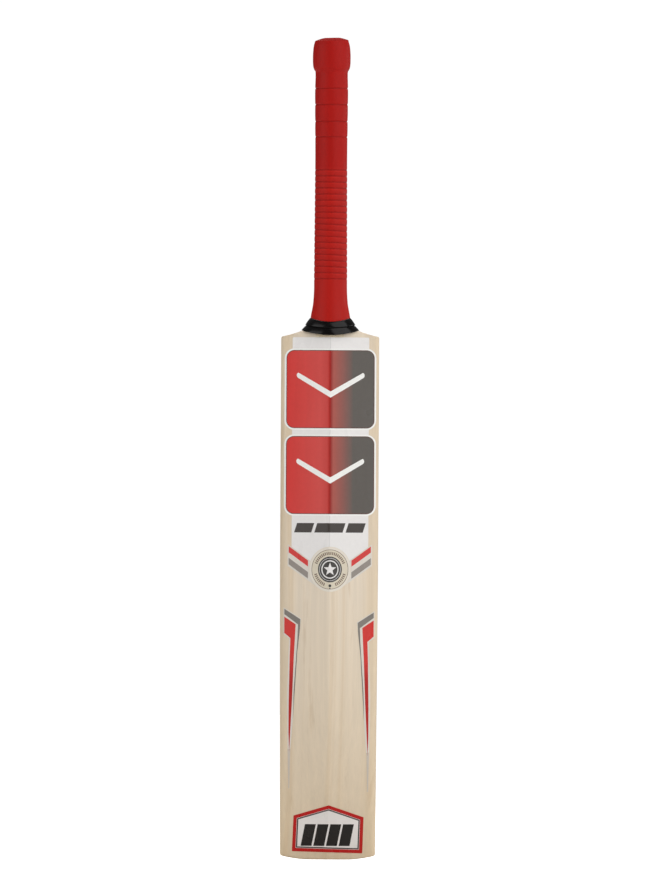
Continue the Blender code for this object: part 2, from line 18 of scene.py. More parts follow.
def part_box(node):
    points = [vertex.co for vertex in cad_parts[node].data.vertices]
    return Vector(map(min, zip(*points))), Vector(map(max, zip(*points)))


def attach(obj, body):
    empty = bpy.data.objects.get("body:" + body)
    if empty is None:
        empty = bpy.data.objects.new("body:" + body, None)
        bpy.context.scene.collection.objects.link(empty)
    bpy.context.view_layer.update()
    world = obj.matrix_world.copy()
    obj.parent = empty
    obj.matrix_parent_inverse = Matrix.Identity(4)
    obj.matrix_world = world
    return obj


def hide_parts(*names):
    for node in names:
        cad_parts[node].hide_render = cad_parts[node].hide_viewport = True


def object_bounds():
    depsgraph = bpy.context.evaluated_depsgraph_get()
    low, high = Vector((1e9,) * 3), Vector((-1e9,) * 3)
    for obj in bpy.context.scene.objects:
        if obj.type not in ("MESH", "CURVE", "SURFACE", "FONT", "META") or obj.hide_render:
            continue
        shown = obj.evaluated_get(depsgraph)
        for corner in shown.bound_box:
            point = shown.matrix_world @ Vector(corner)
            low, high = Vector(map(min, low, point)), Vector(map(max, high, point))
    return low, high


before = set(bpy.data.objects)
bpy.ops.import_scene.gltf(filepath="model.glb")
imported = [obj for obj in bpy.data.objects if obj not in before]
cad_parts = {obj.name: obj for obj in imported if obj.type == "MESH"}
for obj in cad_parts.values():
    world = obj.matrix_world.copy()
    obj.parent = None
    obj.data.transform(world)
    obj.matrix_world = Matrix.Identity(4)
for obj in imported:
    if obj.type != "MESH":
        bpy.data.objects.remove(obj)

cad_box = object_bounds()

MM = 0.001
binding_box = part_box("twine_binding")
HANDLE_Y = (binding_box[0].y + binding_box[1].y) / 2 / MM
TOTAL_LENGTH = cad_box[1].z / MM

# Blade outline
SHOULDER_HEIGHT = 557.5
HALF_WIDTH = 52.25
TOE_HALF_WIDTH = 50.8
TAPER_HEIGHT = 309.0
TOE_FLAT = 18.0
TOE_RISE = 4.2
TOE_BLEND = 60.0
SHOULDER_RISE = 6.3
SHOULDER_FLAT = 30.0
SHOULDER_CURVE = 1.37
SHOULDER_BLEND = 500.0

# Blade thickness, as (height, depth) points that a smooth curve runs through
FACE_LINE = [(0, 15.5), (60, 14.3), (140, 12.4), (230, 11.2), (330, 11.8), (430, 13.6), (557.5, 16.0)]
SPINE_LINE = [
    (0, 8.0), (25, 15.5), (70, 29.0), (130, 42.0), (180, 47.6), (225, 49.0),
    (270, 48.6), (309, 46.5), (340, 44.0), (430, 35.0), (510, 26.5), (557.5, 22.0),
]
EDGE_LINE = [
    (0, 18), (40, 24), (100, 31), (180, 35.5), (240, 36), (309, 34.5), (400, 29), (480, 23.5), (557.5, 18),
]
FACE_CROWN = 1.2
FACE_CORNER = 3.0
BACK_CORNER_SHARE = 0.27
RIDGE_ROUND = 0.03
FLANK_HOLLOW = 0.03
TOE_ROUND = 2.0
SHOULDER_FACE_ROUND = 2.0
SHOULDER_BACK_ROUND = 7.0
END_ROUND_STEPS = 8

# The blade's grid: row spacing, column shares from the ridge to the back corner, and the corner's angles
ROW_STEP = 5.0
COLUMNS = [
    0.0, 0.006, 0.012, 0.02, 0.03, 0.044, 0.065, 0.095, 0.14, 0.2, 0.27, 0.35, 0.43, 0.51, 0.59, 0.67,
    0.75, 0.82, 0.88, 0.94, 1.0,
]
CORNER_ANGLES = range(10, 91, 10)

# Handle and splice
HANDLE_LINE = [(560, 14.0), (580, 14.2), (835, 14.2), (856, 16.2), (871, 15.2)]
HANDLE_OVAL = 1.2
HANDLE_TOP = 871.0
HANDLE_ROWS = [560, 572, 640, 710, 780, 835, 842, 849, 856, 864, 871]
SPLICE_TIP = 425.0
SPLICE_HALF_WIDTH = 15.0
SPLICE_TIP_HALF_WIDTH = 2.0
SLIP_EDGE = 4.9
SPRING_DEPTHS = [-8.0, 0.0, 8.0]
SPRING_THICKNESS = 1.2
SPRING_FOOT = 477.0
# The gap between glued pieces, and the gap round a sleeve or between two labels
JOINT_GAP = 0.04
GAP = 0.3
TWINE_THICKNESS = 0.8

# Grip
SEGMENTS = 96
GRIP_LINE = [
    (577.3, 21.15), (580.5, 20.65), (586, 19.6), (591, 18.7), (596.5, 18.15), (607, 17.6), (620, 17.55),
    (736, 17.0), (770, 17.1), (822, 17.5), (839.7, 17.3), (842, 18.7), (846, 19.8), (854.6, 20.15),
    (862, 19.85), (868, 19.1), (872.4, 17.85),
]
GRIP_FRONT = [(577.3, -0.85), (600, 0.9), (620, 1.3), (835, 1.3), (850, 0.35), (872.4, 0.35)]
GRIP_BACK = [(577.3, 1.3), (835, 1.3), (850, 0.35), (872.4, 0.35)]
# The foot's soft edge, as (height above the foot, how far the surface stands out)
GRIP_FOOT_EDGE = [(0.05, -0.5), (0.0, -0.15), (0.15, 0.0)]
RIB_FOOT = 618.9
RIB_PITCH = 6.45
RIB_COUNT = 18
RIB_TOP = RIB_FOOT + RIB_COUNT * RIB_PITCH
RIB_STEPS = 12
RIB_DEPTH = 0.34
RIB_VALLEY = 0.85
RIB_BARREL = 0.12
# The ribs slant, and sway in waves of (length, rise). Both fade out over the last stretch at each end.
RIB_SLANT = 0.5
RIB_SWAYS = [(21.0, 0.35), (7.3, 0.2)]
RIB_SETTLE = 9.0
RIB_REACH = 17.5
GROOVES = [770.3, 786.8, 804.7, 822.0]
GROOVE_VALLEY = 0.7
GROOVE_DEPTH = 0.6
FINE_REACH = 3.0
BAND_BARREL = 0.15
KNOB_LEAN = 0.5
LIP_HOLE_RADIUS = 7.0
LIP_HOLE_ROUND = 0.8
LIP_ROUND = 1.1
LIP_DOME_CURVE = 1.3
GRIP_DIP = 4.0
GRIP_DIP_END = 610.0

# Painted light on the rubber: its overall scale, the painted shade in a groove and on the lip, and the
# painted shade and highlight across a rib, as (share of pitch, light)
RUBBER_SCALE = 0.7
GROOVE_SHADE = 0.72
LIP_SHADE = 0.8
RIB_SHADES = [(0.0, 0.65), (0.2, 0.95), (0.65, 1.0), (0.8, 1.15), (1.0, 0.65)]

# Collar rings, as (height, dip at front and back, half-width, front depth, back depth), top edge first
COLLAR_UPPER = [(577.3, 4.0, 21.6, 20.3, 22.9), (569.7, 2.7, 26.9, 20.5, 25.4)]
COLLAR_LOWER = [(569.55, 2.7, 25.7, 20.2, 24.4), (563.9, 4.9, 31.0, 20.5, 27.2)]
COLLAR_ROWS = 14
COLLAR_BULGE = 0.25
COLLAR_EDGE = 0.35
COLLAR_EDGE_POWER = 8
SKIRT_WALL = 1.7
SKIRT_CEILING = 564.6
SKIRT_CEILING_INSET = 3.8
SKIRT_CLEARANCE = 0.12

# Labels
LABEL_GAP = 0.04
LABEL_THICKNESS = 0.14
LABEL_STEP = 5.0
LABEL_WELD = 0.0001
LABEL_LEFT = -40.0
LABEL_RIGHT = 41.6
LABEL_TOP = 556.6
LABEL_CORNER = 1.0
PANEL_LEFT = -48.3
PANEL_RIGHT = 49.3
PANEL_SPANS = [(457.8, 544.8), (366.4, 453.1)]
PANEL_RADIUS = 10.3
PANEL_OUTLINE = 1.85
PANEL_LINE = 2.6
PANEL_TRIM = 0.12
PANEL_V_REACH = 33.5
PANEL_V_RISE = 18.0
PANEL_V_THICK = 6.6
PANEL_V_SLOPE = 0.62
# The panels' print from x = -50 mm to x = 50 mm, as (share of the way, colour). The red lightens towards
# the ridge as a painted sheen, and the dark band on the ridge is a painted reflection.
PANEL_INKS_AND_SHEEN = [
    (0.0, (205, 45, 40)), (0.4, (205, 70, 65)), (0.48, (195, 60, 55)), (0.51, (145, 25, 20)),
    (0.54, (165, 80, 70)), (0.75, (90, 85, 80)), (1.0, (90, 85, 80)),
]
NAME_BARS = [(-35.8, -17.5), (-14.3, 15.7), (18.9, 37.2)]
NAME_BAR_HEIGHTS = (348.6, 358.7)
NAME_BAR_LEAN = 3.2
SEAL_X = 1.0
SEAL_HEIGHT = 309.4
SEAL_RADIUS = 23.8
SEAL_SQUEEZE = 0.92
# The seal's prints: rings as (radius, print), ticks as (first angle, count), dots as (height, radius)
SEAL_RINGS = [(21.2, 2), (20.6, 1), (13.75, 3), (12.2, 4), (11.8, 3), (9.8, 4), (8.6, 3)]
SEAL_STAR = (7.4, 3.1)
SEAL_TICKS = [(24, 20), (198, 8), (293, 8)]
SEAL_TICK_RADIUS = 17.2
SEAL_TICK_SIZE = (3.3, 1.3)
SEAL_TICK_STEP = 7
SEAL_DOTS = [(292.0, 1.6), (289.0, 0.8)]
CHEVRON_OUTER = 44.8
CHEVRON_TOP = 336.0
CHEVRON_BOTTOM = 313.0
CHEVRON_SLOPE = 0.73
# Each chevron's bars run between these distances from the middle: (top at the outer edge, thickness)
CHEVRON_BAR_REACH = (43.7, 23.0)
CHEVRON_BARS = [(334.8, 6.6), (322.4, 7.0)]
CENTRE_X = 0.7
STRIPE_CENTRE = 0.3
STRIPE_DROP = 3.6
STRIPE = [
    (-48.0, 268.8), (-29.4, 256.8), (-33.3, 221.0), (-37.4, 152.0), (-40.4, 113.0), (-41.0, 76.0),
    (-42.1, 76.0), (-43.0, 113.0), (-43.9, 175.0), (-42.1, 235.8), (-48.0, 240.2),
]
STRIPE_BAND = [
    (-47.2, 267.3), (-30.1, 256.2), (-31.0, 235.0), (-34.6, 182.0), (-37.1, 138.0), (-37.9, 138.0),
    (-36.8, 182.0), (-33.2, 235.0), (-32.6, 250.6), (-47.2, 261.5),
]
STRIPE_FLAG = [
    (-47.2, 258.9), (-35.1, 250.8), (-36.9, 216.0), (-38.6, 170.0), (-40.4, 135.0), (-41.4, 114.0),
    (-42.2, 135.0), (-42.2, 165.0), (-41.3, 216.0), (-40.7, 236.0), (-47.2, 241.6),
]
STRIPE_TAIL = [(-40.0, 118.0), (-40.9, 76.2), (-42.2, 76.2), (-43.2, 118.0)]
BADGE = [(1.1, 58.1), (-36.4, 46.9), (-37.9, 8.8), (37.0, 6.9), (38.2, 45.4)]
# The badge's prints, as (inset, print), and its bars
BADGE_INSETS = [(3.65, 1), (3.95, 2), (5.35, 1)]
BADGE_BARS = [-26.4, -12.9, 0.6, 14.1]
BADGE_BAR_WIDTH = 11.6
BADGE_BAR_HEIGHTS = (14.6, 37.9)
BADGE_BAR_LEAN = 4.6

# A painted shade line on the main label along the ridge: where it is, where its shade begins and ends, and
# its light
RIDGE_SHADE_X = 0.3
RIDGE_SHADE_REACH = (0.2, 0.7)
RIDGE_SHADE_LIGHT = 0.84

# Camera: the height of what it takes in at the handle's axis, the point it looks at, and its roll
LENS = 1000.0
SENSOR = 36.0
VIEW_HEIGHT = 945.7
VIEW_CENTRE = (3.0, 443.5)
VIEW_ROLL = 0.31

WHITE = (1.0, 1.0, 1.0, 1.0)

# Floor, surroundings, and lamps as (name, azimuth, elevation, width, height, radiance)
FLOOR_RADIUS = 14.0
WORLD_GLOW = 0.12
WORLD_SEEN = 1.02
LAMP_DISTANCE = 3.0
LAMPS = [
    ("key", 50, 30, 3.6, 4.2, 1.77),
    ("fill", -61, 12, 3.0, 3.6, 1.6),
    ("side", 112, 4, 1.6, 1.6, 1.4),
    ("rear", 180, 58, 2.4, 2.4, 3.2),
]


def smooth(place, points):
    """The value at one place on a smooth curve through (place, value) points."""
    if place <= points[0][0]:
        return points[0][1]
    if place >= points[-1][0]:
        return points[-1][1]
    index = max(i for i, point in enumerate(points) if point[0] <= place)
    start, end = points[index], points[index + 1]
    before = points[max(index - 1, 0)]
    after = points[min(index + 2, len(points) - 1)]
    span = end[0] - start[0]
    start_slope = (end[1] - before[1]) / (end[0] - before[0]) * span
    end_slope = (after[1] - start[1]) / (after[0] - start[0]) * span
    t = (place - start[0]) / span
    bend = (start_slope + end_slope - 2 * (end[1] - start[1])) * t
    turn = 3 * (end[1] - start[1]) - 2 * start_slope - end_slope
    return start[1] + t * (start_slope + t * (turn + bend))


# ---------------------------------------------------------------- blade surface


def half_width(row):
    return TOE_HALF_WIDTH + (HALF_WIDTH - TOE_HALF_WIDTH) * min(row / TAPER_HEIGHT, 1.0)


def back_corner(row):
    return BACK_CORNER_SHARE * smooth(row, EDGE_LINE)


def flat_width(row):
    """How far the back runs from the ridge before its corner begins to turn."""
    return half_width(row) - back_corner(row)


def face_y(x, row):
    return smooth(row, FACE_LINE) - FACE_CROWN * (x / half_width(row)) ** 2


def ridge_fall(share):
    """How far the back has fallen from the ridge, 0 to 1, at a share of the half-width."""
    fall = (math.hypot(share, RIDGE_ROUND) - RIDGE_ROUND) / (math.hypot(1.0, RIDGE_ROUND) - RIDGE_ROUND)
    return fall + FLANK_HOLLOW * math.sin(math.pi * share)


def corner_drop(x, row, radius):
    past = abs(x) - half_width(row) + radius
    return radius - math.sqrt(radius**2 - min(past, radius) ** 2) if past > 0 else 0.0


def back_y(x, row):
    ridge = -smooth(row, SPINE_LINE)
    edge = smooth(row, FACE_LINE) - FACE_CROWN - smooth(row, EDGE_LINE)
    across = abs(x) / half_width(row)
    return ridge + (edge - ridge) * ridge_fall(across) + corner_drop(x, row, back_corner(row))


def toe_rise(x):
    return TOE_RISE * (max(abs(x) - TOE_FLAT, 0.0) / (TOE_HALF_WIDTH - TOE_FLAT)) ** 2


def shoulder_rise(x):
    share = min(max(HALF_WIDTH - abs(x), 0.0) / (HALF_WIDTH - SHOULDER_FLAT), 1.0)
    return SHOULDER_RISE * share**SHOULDER_CURVE


def height_at(x, row):
    """The height of a row at x: rows bend to the toe's curve at one end and the shoulders' at the other."""
    toe_share = max(1.0 - row / TOE_BLEND, 0.0)
    shoulder_share = max(row - SHOULDER_BLEND, 0.0) / (SHOULDER_HEIGHT - SHOULDER_BLEND)
    return row + toe_rise(x) * toe_share + shoulder_rise(x) * shoulder_share


def row_at(x, height):
    """The row that passes through a height at x."""
    if height < TOE_BLEND:
        rise = toe_rise(x)
        return (height - rise) / (1.0 - rise / TOE_BLEND)
    if height > SHOULDER_BLEND:
        stretch = shoulder_rise(x) / (SHOULDER_HEIGHT - SHOULDER_BLEND)
        return (height + stretch * SHOULDER_BLEND) / (1.0 + stretch)
    return height


def between_rows():
    """The rows between the roundings of the toe and the shoulders."""
    first, last = 2 * TOE_ROUND, SHOULDER_HEIGHT - 2 * SHOULDER_BACK_ROUND
    count = round((last - first) / ROW_STEP)
    return [first + (last - first) * i / count for i in range(count + 1)]


ROWS = between_rows()


# ---------------------------------------------------------------- making meshes


def mesh_of(name, points, faces):
    """A mesh from points in millimetres, placed on the handle's axis."""
    mesh = bpy.data.meshes.new(name)
    shift = Vector((0.0, HANDLE_Y, 0.0))
    mesh.from_pydata([(Vector(point) + shift) * MM for point in points], [], faces)
    return mesh


def turn_outward(mesh):
    shape = bmesh.new()
    shape.from_mesh(mesh)
    bmesh.ops.recalc_face_normals(shape, faces=shape.faces)
    shape.to_mesh(mesh)
    shape.free()


def add_object(name, data):
    item = bpy.data.objects.new(name, data)
    bpy.context.scene.collection.objects.link(item)
    return item


def piece(name, mesh, materials, node, sharp=35.0):
    """A closed piece that rides on the bat and stands for a CAD node."""
    turn_outward(mesh)
    mesh.shade_smooth()
    mesh.set_sharp_from_angle(angle=math.radians(sharp))
    for material in materials:
        mesh.materials.append(material)
    item = add_object(name, mesh)
    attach(item, "root")
    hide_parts(node)


def helper(name, points, faces):
    """A solid that only shapes others."""
    mesh = mesh_of(name, points, faces)
    turn_outward(mesh)
    return add_object(name, mesh)


def combined(item, operation, tool):
    """A new mesh: item joined to, cut by or kept inside tool."""
    modifier = item.modifiers.new(operation, "BOOLEAN")
    modifier.operation = operation
    modifier.solver = "EXACT"
    modifier.object = tool
    bpy.context.view_layer.update()
    shaped = item.evaluated_get(bpy.context.evaluated_depsgraph_get())
    mesh = bpy.data.meshes.new_from_object(shaped)
    item.modifiers.clear()
    return mesh


def loop_faces(loops, size, joined):
    """The side faces between loops of size points, and from the last loop to the first if joined."""
    faces = []
    for loop in range(loops if joined else loops - 1):
        low = loop * size
        high = (loop + 1) % loops * size
        for i in range(size):
            j = (i + 1) % size
            faces.append((low + i, low + j, high + j, high + i))
    return faces


def end_distances(radius):
    """How far from an end the rows of its rounding lie, counted from the end itself."""
    angles = [math.pi / 2 * step / END_ROUND_STEPS for step in range(END_ROUND_STEPS + 1)]
    return [radius * (1 - math.cos(angle)) for angle in angles]


def end_inset(distance, radius):
    """How far a quarter-circle rounding has drawn a side in at a distance from the end."""
    return radius - math.sqrt(radius**2 - (radius - distance) ** 2) if distance < radius else 0.0


def blade_section(row, face_inset, back_inset):
    """The back's points from left to right and the face's points under them, drawn in by the insets."""
    width = half_width(row)
    middle = (face_y(0.0, row) + back_y(0.0, row)) / 2
    thickness = (face_y(0.0, row) - back_y(0.0, row)) / 2
    right = []
    for share in COLUMNS:
        x = share * flat_width(row)
        right.append((x, back_y(x, row), x, face_y(x, row)))
    for angle in map(math.radians, CORNER_ANGLES):
        back_x = flat_width(row) + back_corner(row) * math.sin(angle)
        face_x = width - FACE_CORNER + FACE_CORNER * math.sin(angle)
        face = face_y(face_x, row) - FACE_CORNER * (1 - math.cos(angle))
        right.append((back_x, back_y(back_x, row), face_x, face))
    left = [(-back_x, back, -face_x, face) for back_x, back, face_x, face in reversed(right[1:])]
    narrow = 1 - face_inset / width
    back_points = []
    face_points = []
    for back_x, back, face_x, face in left + right:
        x = back_x * narrow
        back_points.append((x, middle + (back - middle) * (1 - back_inset / thickness), height_at(x, row)))
        x = face_x * narrow
        face_points.append((x, middle + (face - middle) * (1 - face_inset / thickness), height_at(x, row)))
    return back_points, face_points


def blade_mesh(foot=0.0):
    """Points and faces of the blade before its slot is cut, or of its upper part above a foot height."""
    toe = end_distances(TOE_ROUND) if foot == 0.0 else []
    shoulder = [SHOULDER_HEIGHT - distance for distance in reversed(end_distances(SHOULDER_BACK_ROUND))]
    rows = toe + [row for row in ROWS if row >= foot] + shoulder
    points = []
    for row in rows:
        toe_inset = end_inset(row, TOE_ROUND)
        from_top = SHOULDER_HEIGHT - row
        face_inset = toe_inset + end_inset(from_top, SHOULDER_FACE_ROUND)
        back_inset = toe_inset + end_inset(from_top, SHOULDER_BACK_ROUND)
        back_points, face_points = blade_section(row, face_inset, back_inset)
        points += back_points + face_points[::-1]
    size = len(points) // len(rows)
    faces = loop_faces(len(rows), size, joined=False)
    for first in (0, len(points) - size):
        for i in range(size // 2 - 1):
            far = size - 1 - i
            faces.append((first + i, first + i + 1, first + far - 1, first + far))
    return points, faces


def prism_mesh(outline, start, end, plane):
    """A prism on an outline in the xz plane, running along y, or in the yz plane, running along x."""
    points = []
    for depth in (start, end):
        for across, height in outline:
            points.append((across, depth, height) if plane == "xz" else (depth, across, height))
    size = len(outline)
    faces = loop_faces(2, size, joined=False)
    faces.append(tuple(range(size)))
    faces.append(tuple(range(2 * size - 1, size - 1, -1)))
    return points, faces


DEEPEST = max(depth for _, depth in SPINE_LINE)


def splice_wedge(name, clearance):
    """The V of the splice, right through the blade, wider than the cane by a clearance."""
    lean = (SPLICE_HALF_WIDTH - SPLICE_TIP_HALF_WIDTH) / (SHOULDER_HEIGHT - SPLICE_TIP)
    top = SHOULDER_HEIGHT + 3 * SHOULDER_RISE
    top_half_width = SPLICE_HALF_WIDTH + lean * (top - SHOULDER_HEIGHT) + clearance
    tip_half_width = SPLICE_TIP_HALF_WIDTH + clearance
    outline = [
        (-tip_half_width, SPLICE_TIP - clearance), (tip_half_width, SPLICE_TIP - clearance),
        (top_half_width, top), (-top_half_width, top),
    ]
    return helper(name, *prism_mesh(outline, -2 * DEEPEST, 2 * DEEPEST, "xz"))


def oval_loop(height, dip, width, front, back):
    """One loop round the handle's axis. It dips at the front and the back by the given amount."""
    loop = []
    for segment in range(SEGMENTS):
        angle = 2 * math.pi * segment / SEGMENTS
        side = math.sin(angle)
        depth = front if side > 0 else back
        loop.append((width * math.cos(angle), depth * side, height - dip * side**2))
    return loop


def handle_loop(height, extra, dip=0.0):
    width = smooth(height, HANDLE_LINE) + extra
    depth = width + HANDLE_OVAL
    return oval_loop(height, dip, width, depth, depth)


def tube_mesh(name, loops):
    """A closed tube from loops that run up the outside and back down the inside."""
    points = [point for loop in loops for point in loop]
    return mesh_of(name, points, loop_faces(len(loops), SEGMENTS, joined=True))


# ---------------------------------------------------------------- blade, splice and handle


def remove(*items):
    for item in items:
        bpy.data.objects.remove(item)


def make_blade(material):
    body = helper("blade_body", *blade_mesh())
    slot = splice_wedge("splice_slot", JOINT_GAP)
    mesh = combined(body, "DIFFERENCE", slot)
    remove(body, slot)
    piece("blade", mesh, [material], "willow_blade")


def handle_blank():
    """The whole handle in one solid, oval above the shoulders and a wedge flush with the blade below."""
    wedge = splice_wedge("splice_blank", 0.0)
    top_of_blade = helper("blade_top", *blade_mesh(SPLICE_TIP - 3 * ROW_STEP))
    fitted = add_object("fitted_wedge", combined(wedge, "INTERSECT", top_of_blade))
    points = [point for height in HANDLE_ROWS for point in handle_loop(height, 0.0)]
    faces = loop_faces(len(HANDLE_ROWS), SEGMENTS, joined=False)
    faces.append(tuple(range(SEGMENTS - 1, -1, -1)))
    faces.append(tuple(range(len(points) - SEGMENTS, len(points))))
    oval = helper("oval_handle", points, faces)
    blank_mesh = combined(oval, "UNION", fitted)
    remove(wedge, top_of_blade, fitted, oval)
    return add_object("handle_blank", blank_mesh)


def layer_outline(layer):
    """One cane layer seen from the side: it steps in beside each spring, and meets its neighbour below."""
    far = 2 * DEEPEST
    beside = SPRING_THICKNESS / 2 + JOINT_GAP
    low = SPRING_DEPTHS[layer - 1] if layer > 0 else -far
    high = SPRING_DEPTHS[layer] if layer < len(SPRING_DEPTHS) else far
    foot = SPLICE_TIP - SHOULDER_RISE
    step = SPRING_FOOT - JOINT_GAP
    top = TOTAL_LENGTH
    half = JOINT_GAP / 2
    return [
        (low + half, foot), (high - half, foot), (high - half, step), (high - beside, step),
        (high - beside, top), (low + beside, top), (low + beside, step), (low + half, step),
    ]


def make_slips(blank, material):
    far = 2 * HALF_WIDTH
    half = JOINT_GAP / 2
    spans = {
        "left": (-far, -SLIP_EDGE - half),
        "middle": (-SLIP_EDGE + half, SLIP_EDGE - half),
        "right": (SLIP_EDGE + half, far),
    }
    for layer in range(len(SPRING_DEPTHS) + 1):
        for side, (start, end) in spans.items():
            cutter = helper("slip_space", *prism_mesh(layer_outline(layer), start, end, "yz"))
            mesh = combined(cutter, "INTERSECT", blank)
            remove(cutter)
            place = f"{layer + 1}_{side}"
            piece(f"cane_slip{place}", mesh, [material], f"cane_layer{place}")


# ---------------------------------------------------------------- grip


def rib_line(height):
    """How far the grip's surface stands off its smooth outline at a height in the ribs."""
    place = (height - RIB_FOOT) / RIB_PITCH
    from_valley = abs(place - round(place)) * RIB_PITCH
    barrel = RIB_BARREL * (1 - (1 - 2 * from_valley / RIB_PITCH) ** 2)
    return barrel - RIB_DEPTH * math.exp(-((from_valley / RIB_VALLEY) ** 2))


def rib_edge(height):
    """The rib line just past the first and last valleys, which only sinks."""
    return min(rib_line(height), 0.0)


def flat_line(_):
    return 0.0


def band_line(height):
    """How far the grip's surface stands off its smooth outline at a height in the ringed bands."""
    sunk = sum(GROOVE_DEPTH * math.exp(-(((height - groove) / GROOVE_VALLEY) ** 2)) for groove in GROOVES)
    barrel = 0.0
    for low, high in zip(GROOVES, GROOVES[1:], strict=False):
        if low < height < high:
            barrel = BAND_BARREL * math.sin(math.pi * (height - low) / (high - low))
    return barrel - sunk


def rib_tilt(height):
    """How far the ribs slant: their left end is higher and their right end lower."""
    above = height - RIB_FOOT
    settled = min(above, RIB_TOP - height, RIB_SETTLE) / RIB_SETTLE
    slant = RIB_SLANT + sum(rise * math.sin(above / length) for length, rise in RIB_SWAYS)
    return slant * max(settled, 0.0)


def grip_loop(height, raised):
    """A loop of the grip's outside, which tilts with the ribs."""
    width = smooth(height, GRIP_LINE) + raised
    dip = GRIP_DIP * max(GRIP_DIP_END - height, 0.0) / (GRIP_DIP_END - GRIP_LINE[0][0])
    front = width + smooth(height, GRIP_FRONT)
    back = width + smooth(height, GRIP_BACK)
    tilt = rib_tilt(height)
    return [(x, y, z - tilt * x / width) for x, y, z in oval_loop(height, dip, width, front, back)]


def steps(start, end, count):
    """Evenly spaced values after start, up to and with end."""
    return [start + (end - start) * (i + 1) / count for i in range(count)]


def make_grip(material):
    """A sleeve with a flare, fine ribs, four ringed bands, and a knob whose lip has a hole."""
    foot = GRIP_LINE[0][0]
    outside = [grip_loop(foot + up, raised) for up, raised in GRIP_FOOT_EDGE]
    valley = 2 * RIB_VALLEY
    stretches = [
        (RIB_FOOT - FINE_REACH, 18, flat_line), (RIB_FOOT - valley, 2, flat_line), (RIB_FOOT, 5, rib_edge),
        (RIB_TOP, RIB_COUNT * RIB_STEPS, rib_line), (RIB_TOP + valley, 5, rib_edge),
        (GROOVES[0] - FINE_REACH, 5, flat_line), (GROOVES[-1] + FINE_REACH, 140, band_line),
        (GRIP_LINE[-1][0], 44, flat_line),
    ]
    low = foot + GRIP_FOOT_EDGE[-1][0]
    for high, count, line in stretches:
        outside += [grip_loop(height, line(height)) for height in steps(low, high, count)]
        low = high
    hole = LIP_HOLE_RADIUS
    inside = [oval_loop(HANDLE_TOP + GAP, 0.0, hole, hole, hole)]
    bore = 2 * GAP + TWINE_THICKNESS
    inside.append([(x, y, HANDLE_TOP + GAP) for x, y, _ in handle_loop(HANDLE_TOP, bore)])
    heights = [height for height in reversed(HANDLE_ROWS) if GRIP_DIP_END < height < HANDLE_TOP]
    inside += [handle_loop(height, bore) for height in heights]
    inside.append(handle_loop(foot, bore, GRIP_DIP))
    mesh = tube_mesh("grip", outside + lip_loops() + inside)
    piece("grip", mesh, [material], "rubber_grip", sharp=60.0)


def lip_loops():
    """The knob's rounded top edge, its low dome and the rounded rim of its hole."""
    height, width = GRIP_LINE[-1]
    front = width + smooth(height, GRIP_FRONT)
    lean = KNOB_LEAN / width
    loops = []
    for angle in map(math.radians, steps(0, 90, 5)):
        inward = LIP_ROUND * (1 - math.cos(angle))
        depth = front - inward
        loops.append(oval_loop(height + LIP_ROUND * math.sin(angle), 0.0, width - inward, depth, depth))
    edge = width - LIP_ROUND
    rim = LIP_HOLE_RADIUS + LIP_HOLE_ROUND
    for share in steps(0, 1, 5):
        radius = edge + (rim - edge) * share
        depth = radius + (front - width) * (1 - share)
        rise = (TOTAL_LENGTH - height - LIP_ROUND) * (1 - (1 - share) ** LIP_DOME_CURVE)
        loops.append(oval_loop(height + LIP_ROUND + rise, 0.0, radius, depth, depth))
    for angle in map(math.radians, steps(0, 90, 2)):
        radius = rim - LIP_HOLE_ROUND * math.sin(angle)
        top = TOTAL_LENGTH - LIP_HOLE_ROUND * (1 - math.cos(angle))
        loops.append(oval_loop(top, 0.0, radius, radius, radius))
    return [[(x, y, z + lean * x) for x, y, z in loop] for loop in loops]


# ---------------------------------------------------------------- collar


def shoulder_top(x, y):
    """The height of the blade's upper end under a point, with its rounding at the back."""
    from_back = y - back_y(x, SHOULDER_HEIGHT)
    if from_back < 0:
        return 0.0
    return height_at(x, SHOULDER_HEIGHT) - end_inset(from_back, SHOULDER_BACK_ROUND)


def skirt_loop(inset):
    """The skirt's lower edge: it hangs in front and behind, and rests where the shoulders hold it up."""
    height, dip, width, front, back = COLLAR_LOWER[-1]
    loop = []
    for x, y, hanging in oval_loop(height, dip, width - inset, front - inset, back - inset):
        if y > 0:
            hanging = height
        loop.append((x, y, max(hanging, shoulder_top(x, y) + SKIRT_CLEARANCE)))
    return loop


def tier_loops(top, bottom):
    """Loops down a ring's outside from top to bottom, slightly bulged and with soft edges."""
    loops = []
    for row in range(COLLAR_ROWS + 1):
        share = (1 - math.cos(math.pi * row / COLLAR_ROWS)) / 2
        edge = COLLAR_EDGE * (2 * share - 1) ** COLLAR_EDGE_POWER
        swell = COLLAR_BULGE * math.sin(math.pi * share) - edge
        loop = []
        for upper, lower in zip(top, bottom, strict=True):
            x, y, z = Vector(upper).lerp(Vector(lower), share)
            reach = math.hypot(x, y)
            loop.append((x * (1 + swell / reach), y * (1 + swell / reach), z))
        loops.append(loop)
    return loops


def make_collar(material):
    """Two black rings. The lower one is a skirt over the blade's shoulders."""
    bore = 2 * GAP + TWINE_THICKNESS
    upper = tier_loops(oval_loop(*COLLAR_UPPER[0]), oval_loop(*COLLAR_UPPER[1]))
    upper += [handle_loop(height, bore, dip) for height, dip, *_ in reversed(COLLAR_UPPER)]
    piece("collar_upper", tube_mesh("collar_upper", upper), [material], "collar_upper_ring")
    top, dip, *_ = COLLAR_LOWER[0]
    lower = tier_loops(oval_loop(*COLLAR_LOWER[0]), skirt_loop(0.0))
    lower.append(skirt_loop(SKIRT_WALL))
    lower.append([(x, y, SKIRT_CEILING) for x, y, _ in skirt_loop(SKIRT_CEILING_INSET)])
    lower.append(handle_loop(SKIRT_CEILING, 2 * GAP))
    lower.append(handle_loop(top, 2 * GAP, dip))
    piece("collar_lower", tube_mesh("collar_lower", lower), [material], "collar_lower_ring")


# ---------------------------------------------------------------- labels


def surface_point(x, row):
    return Vector((x, back_y(x, row), height_at(x, row)))


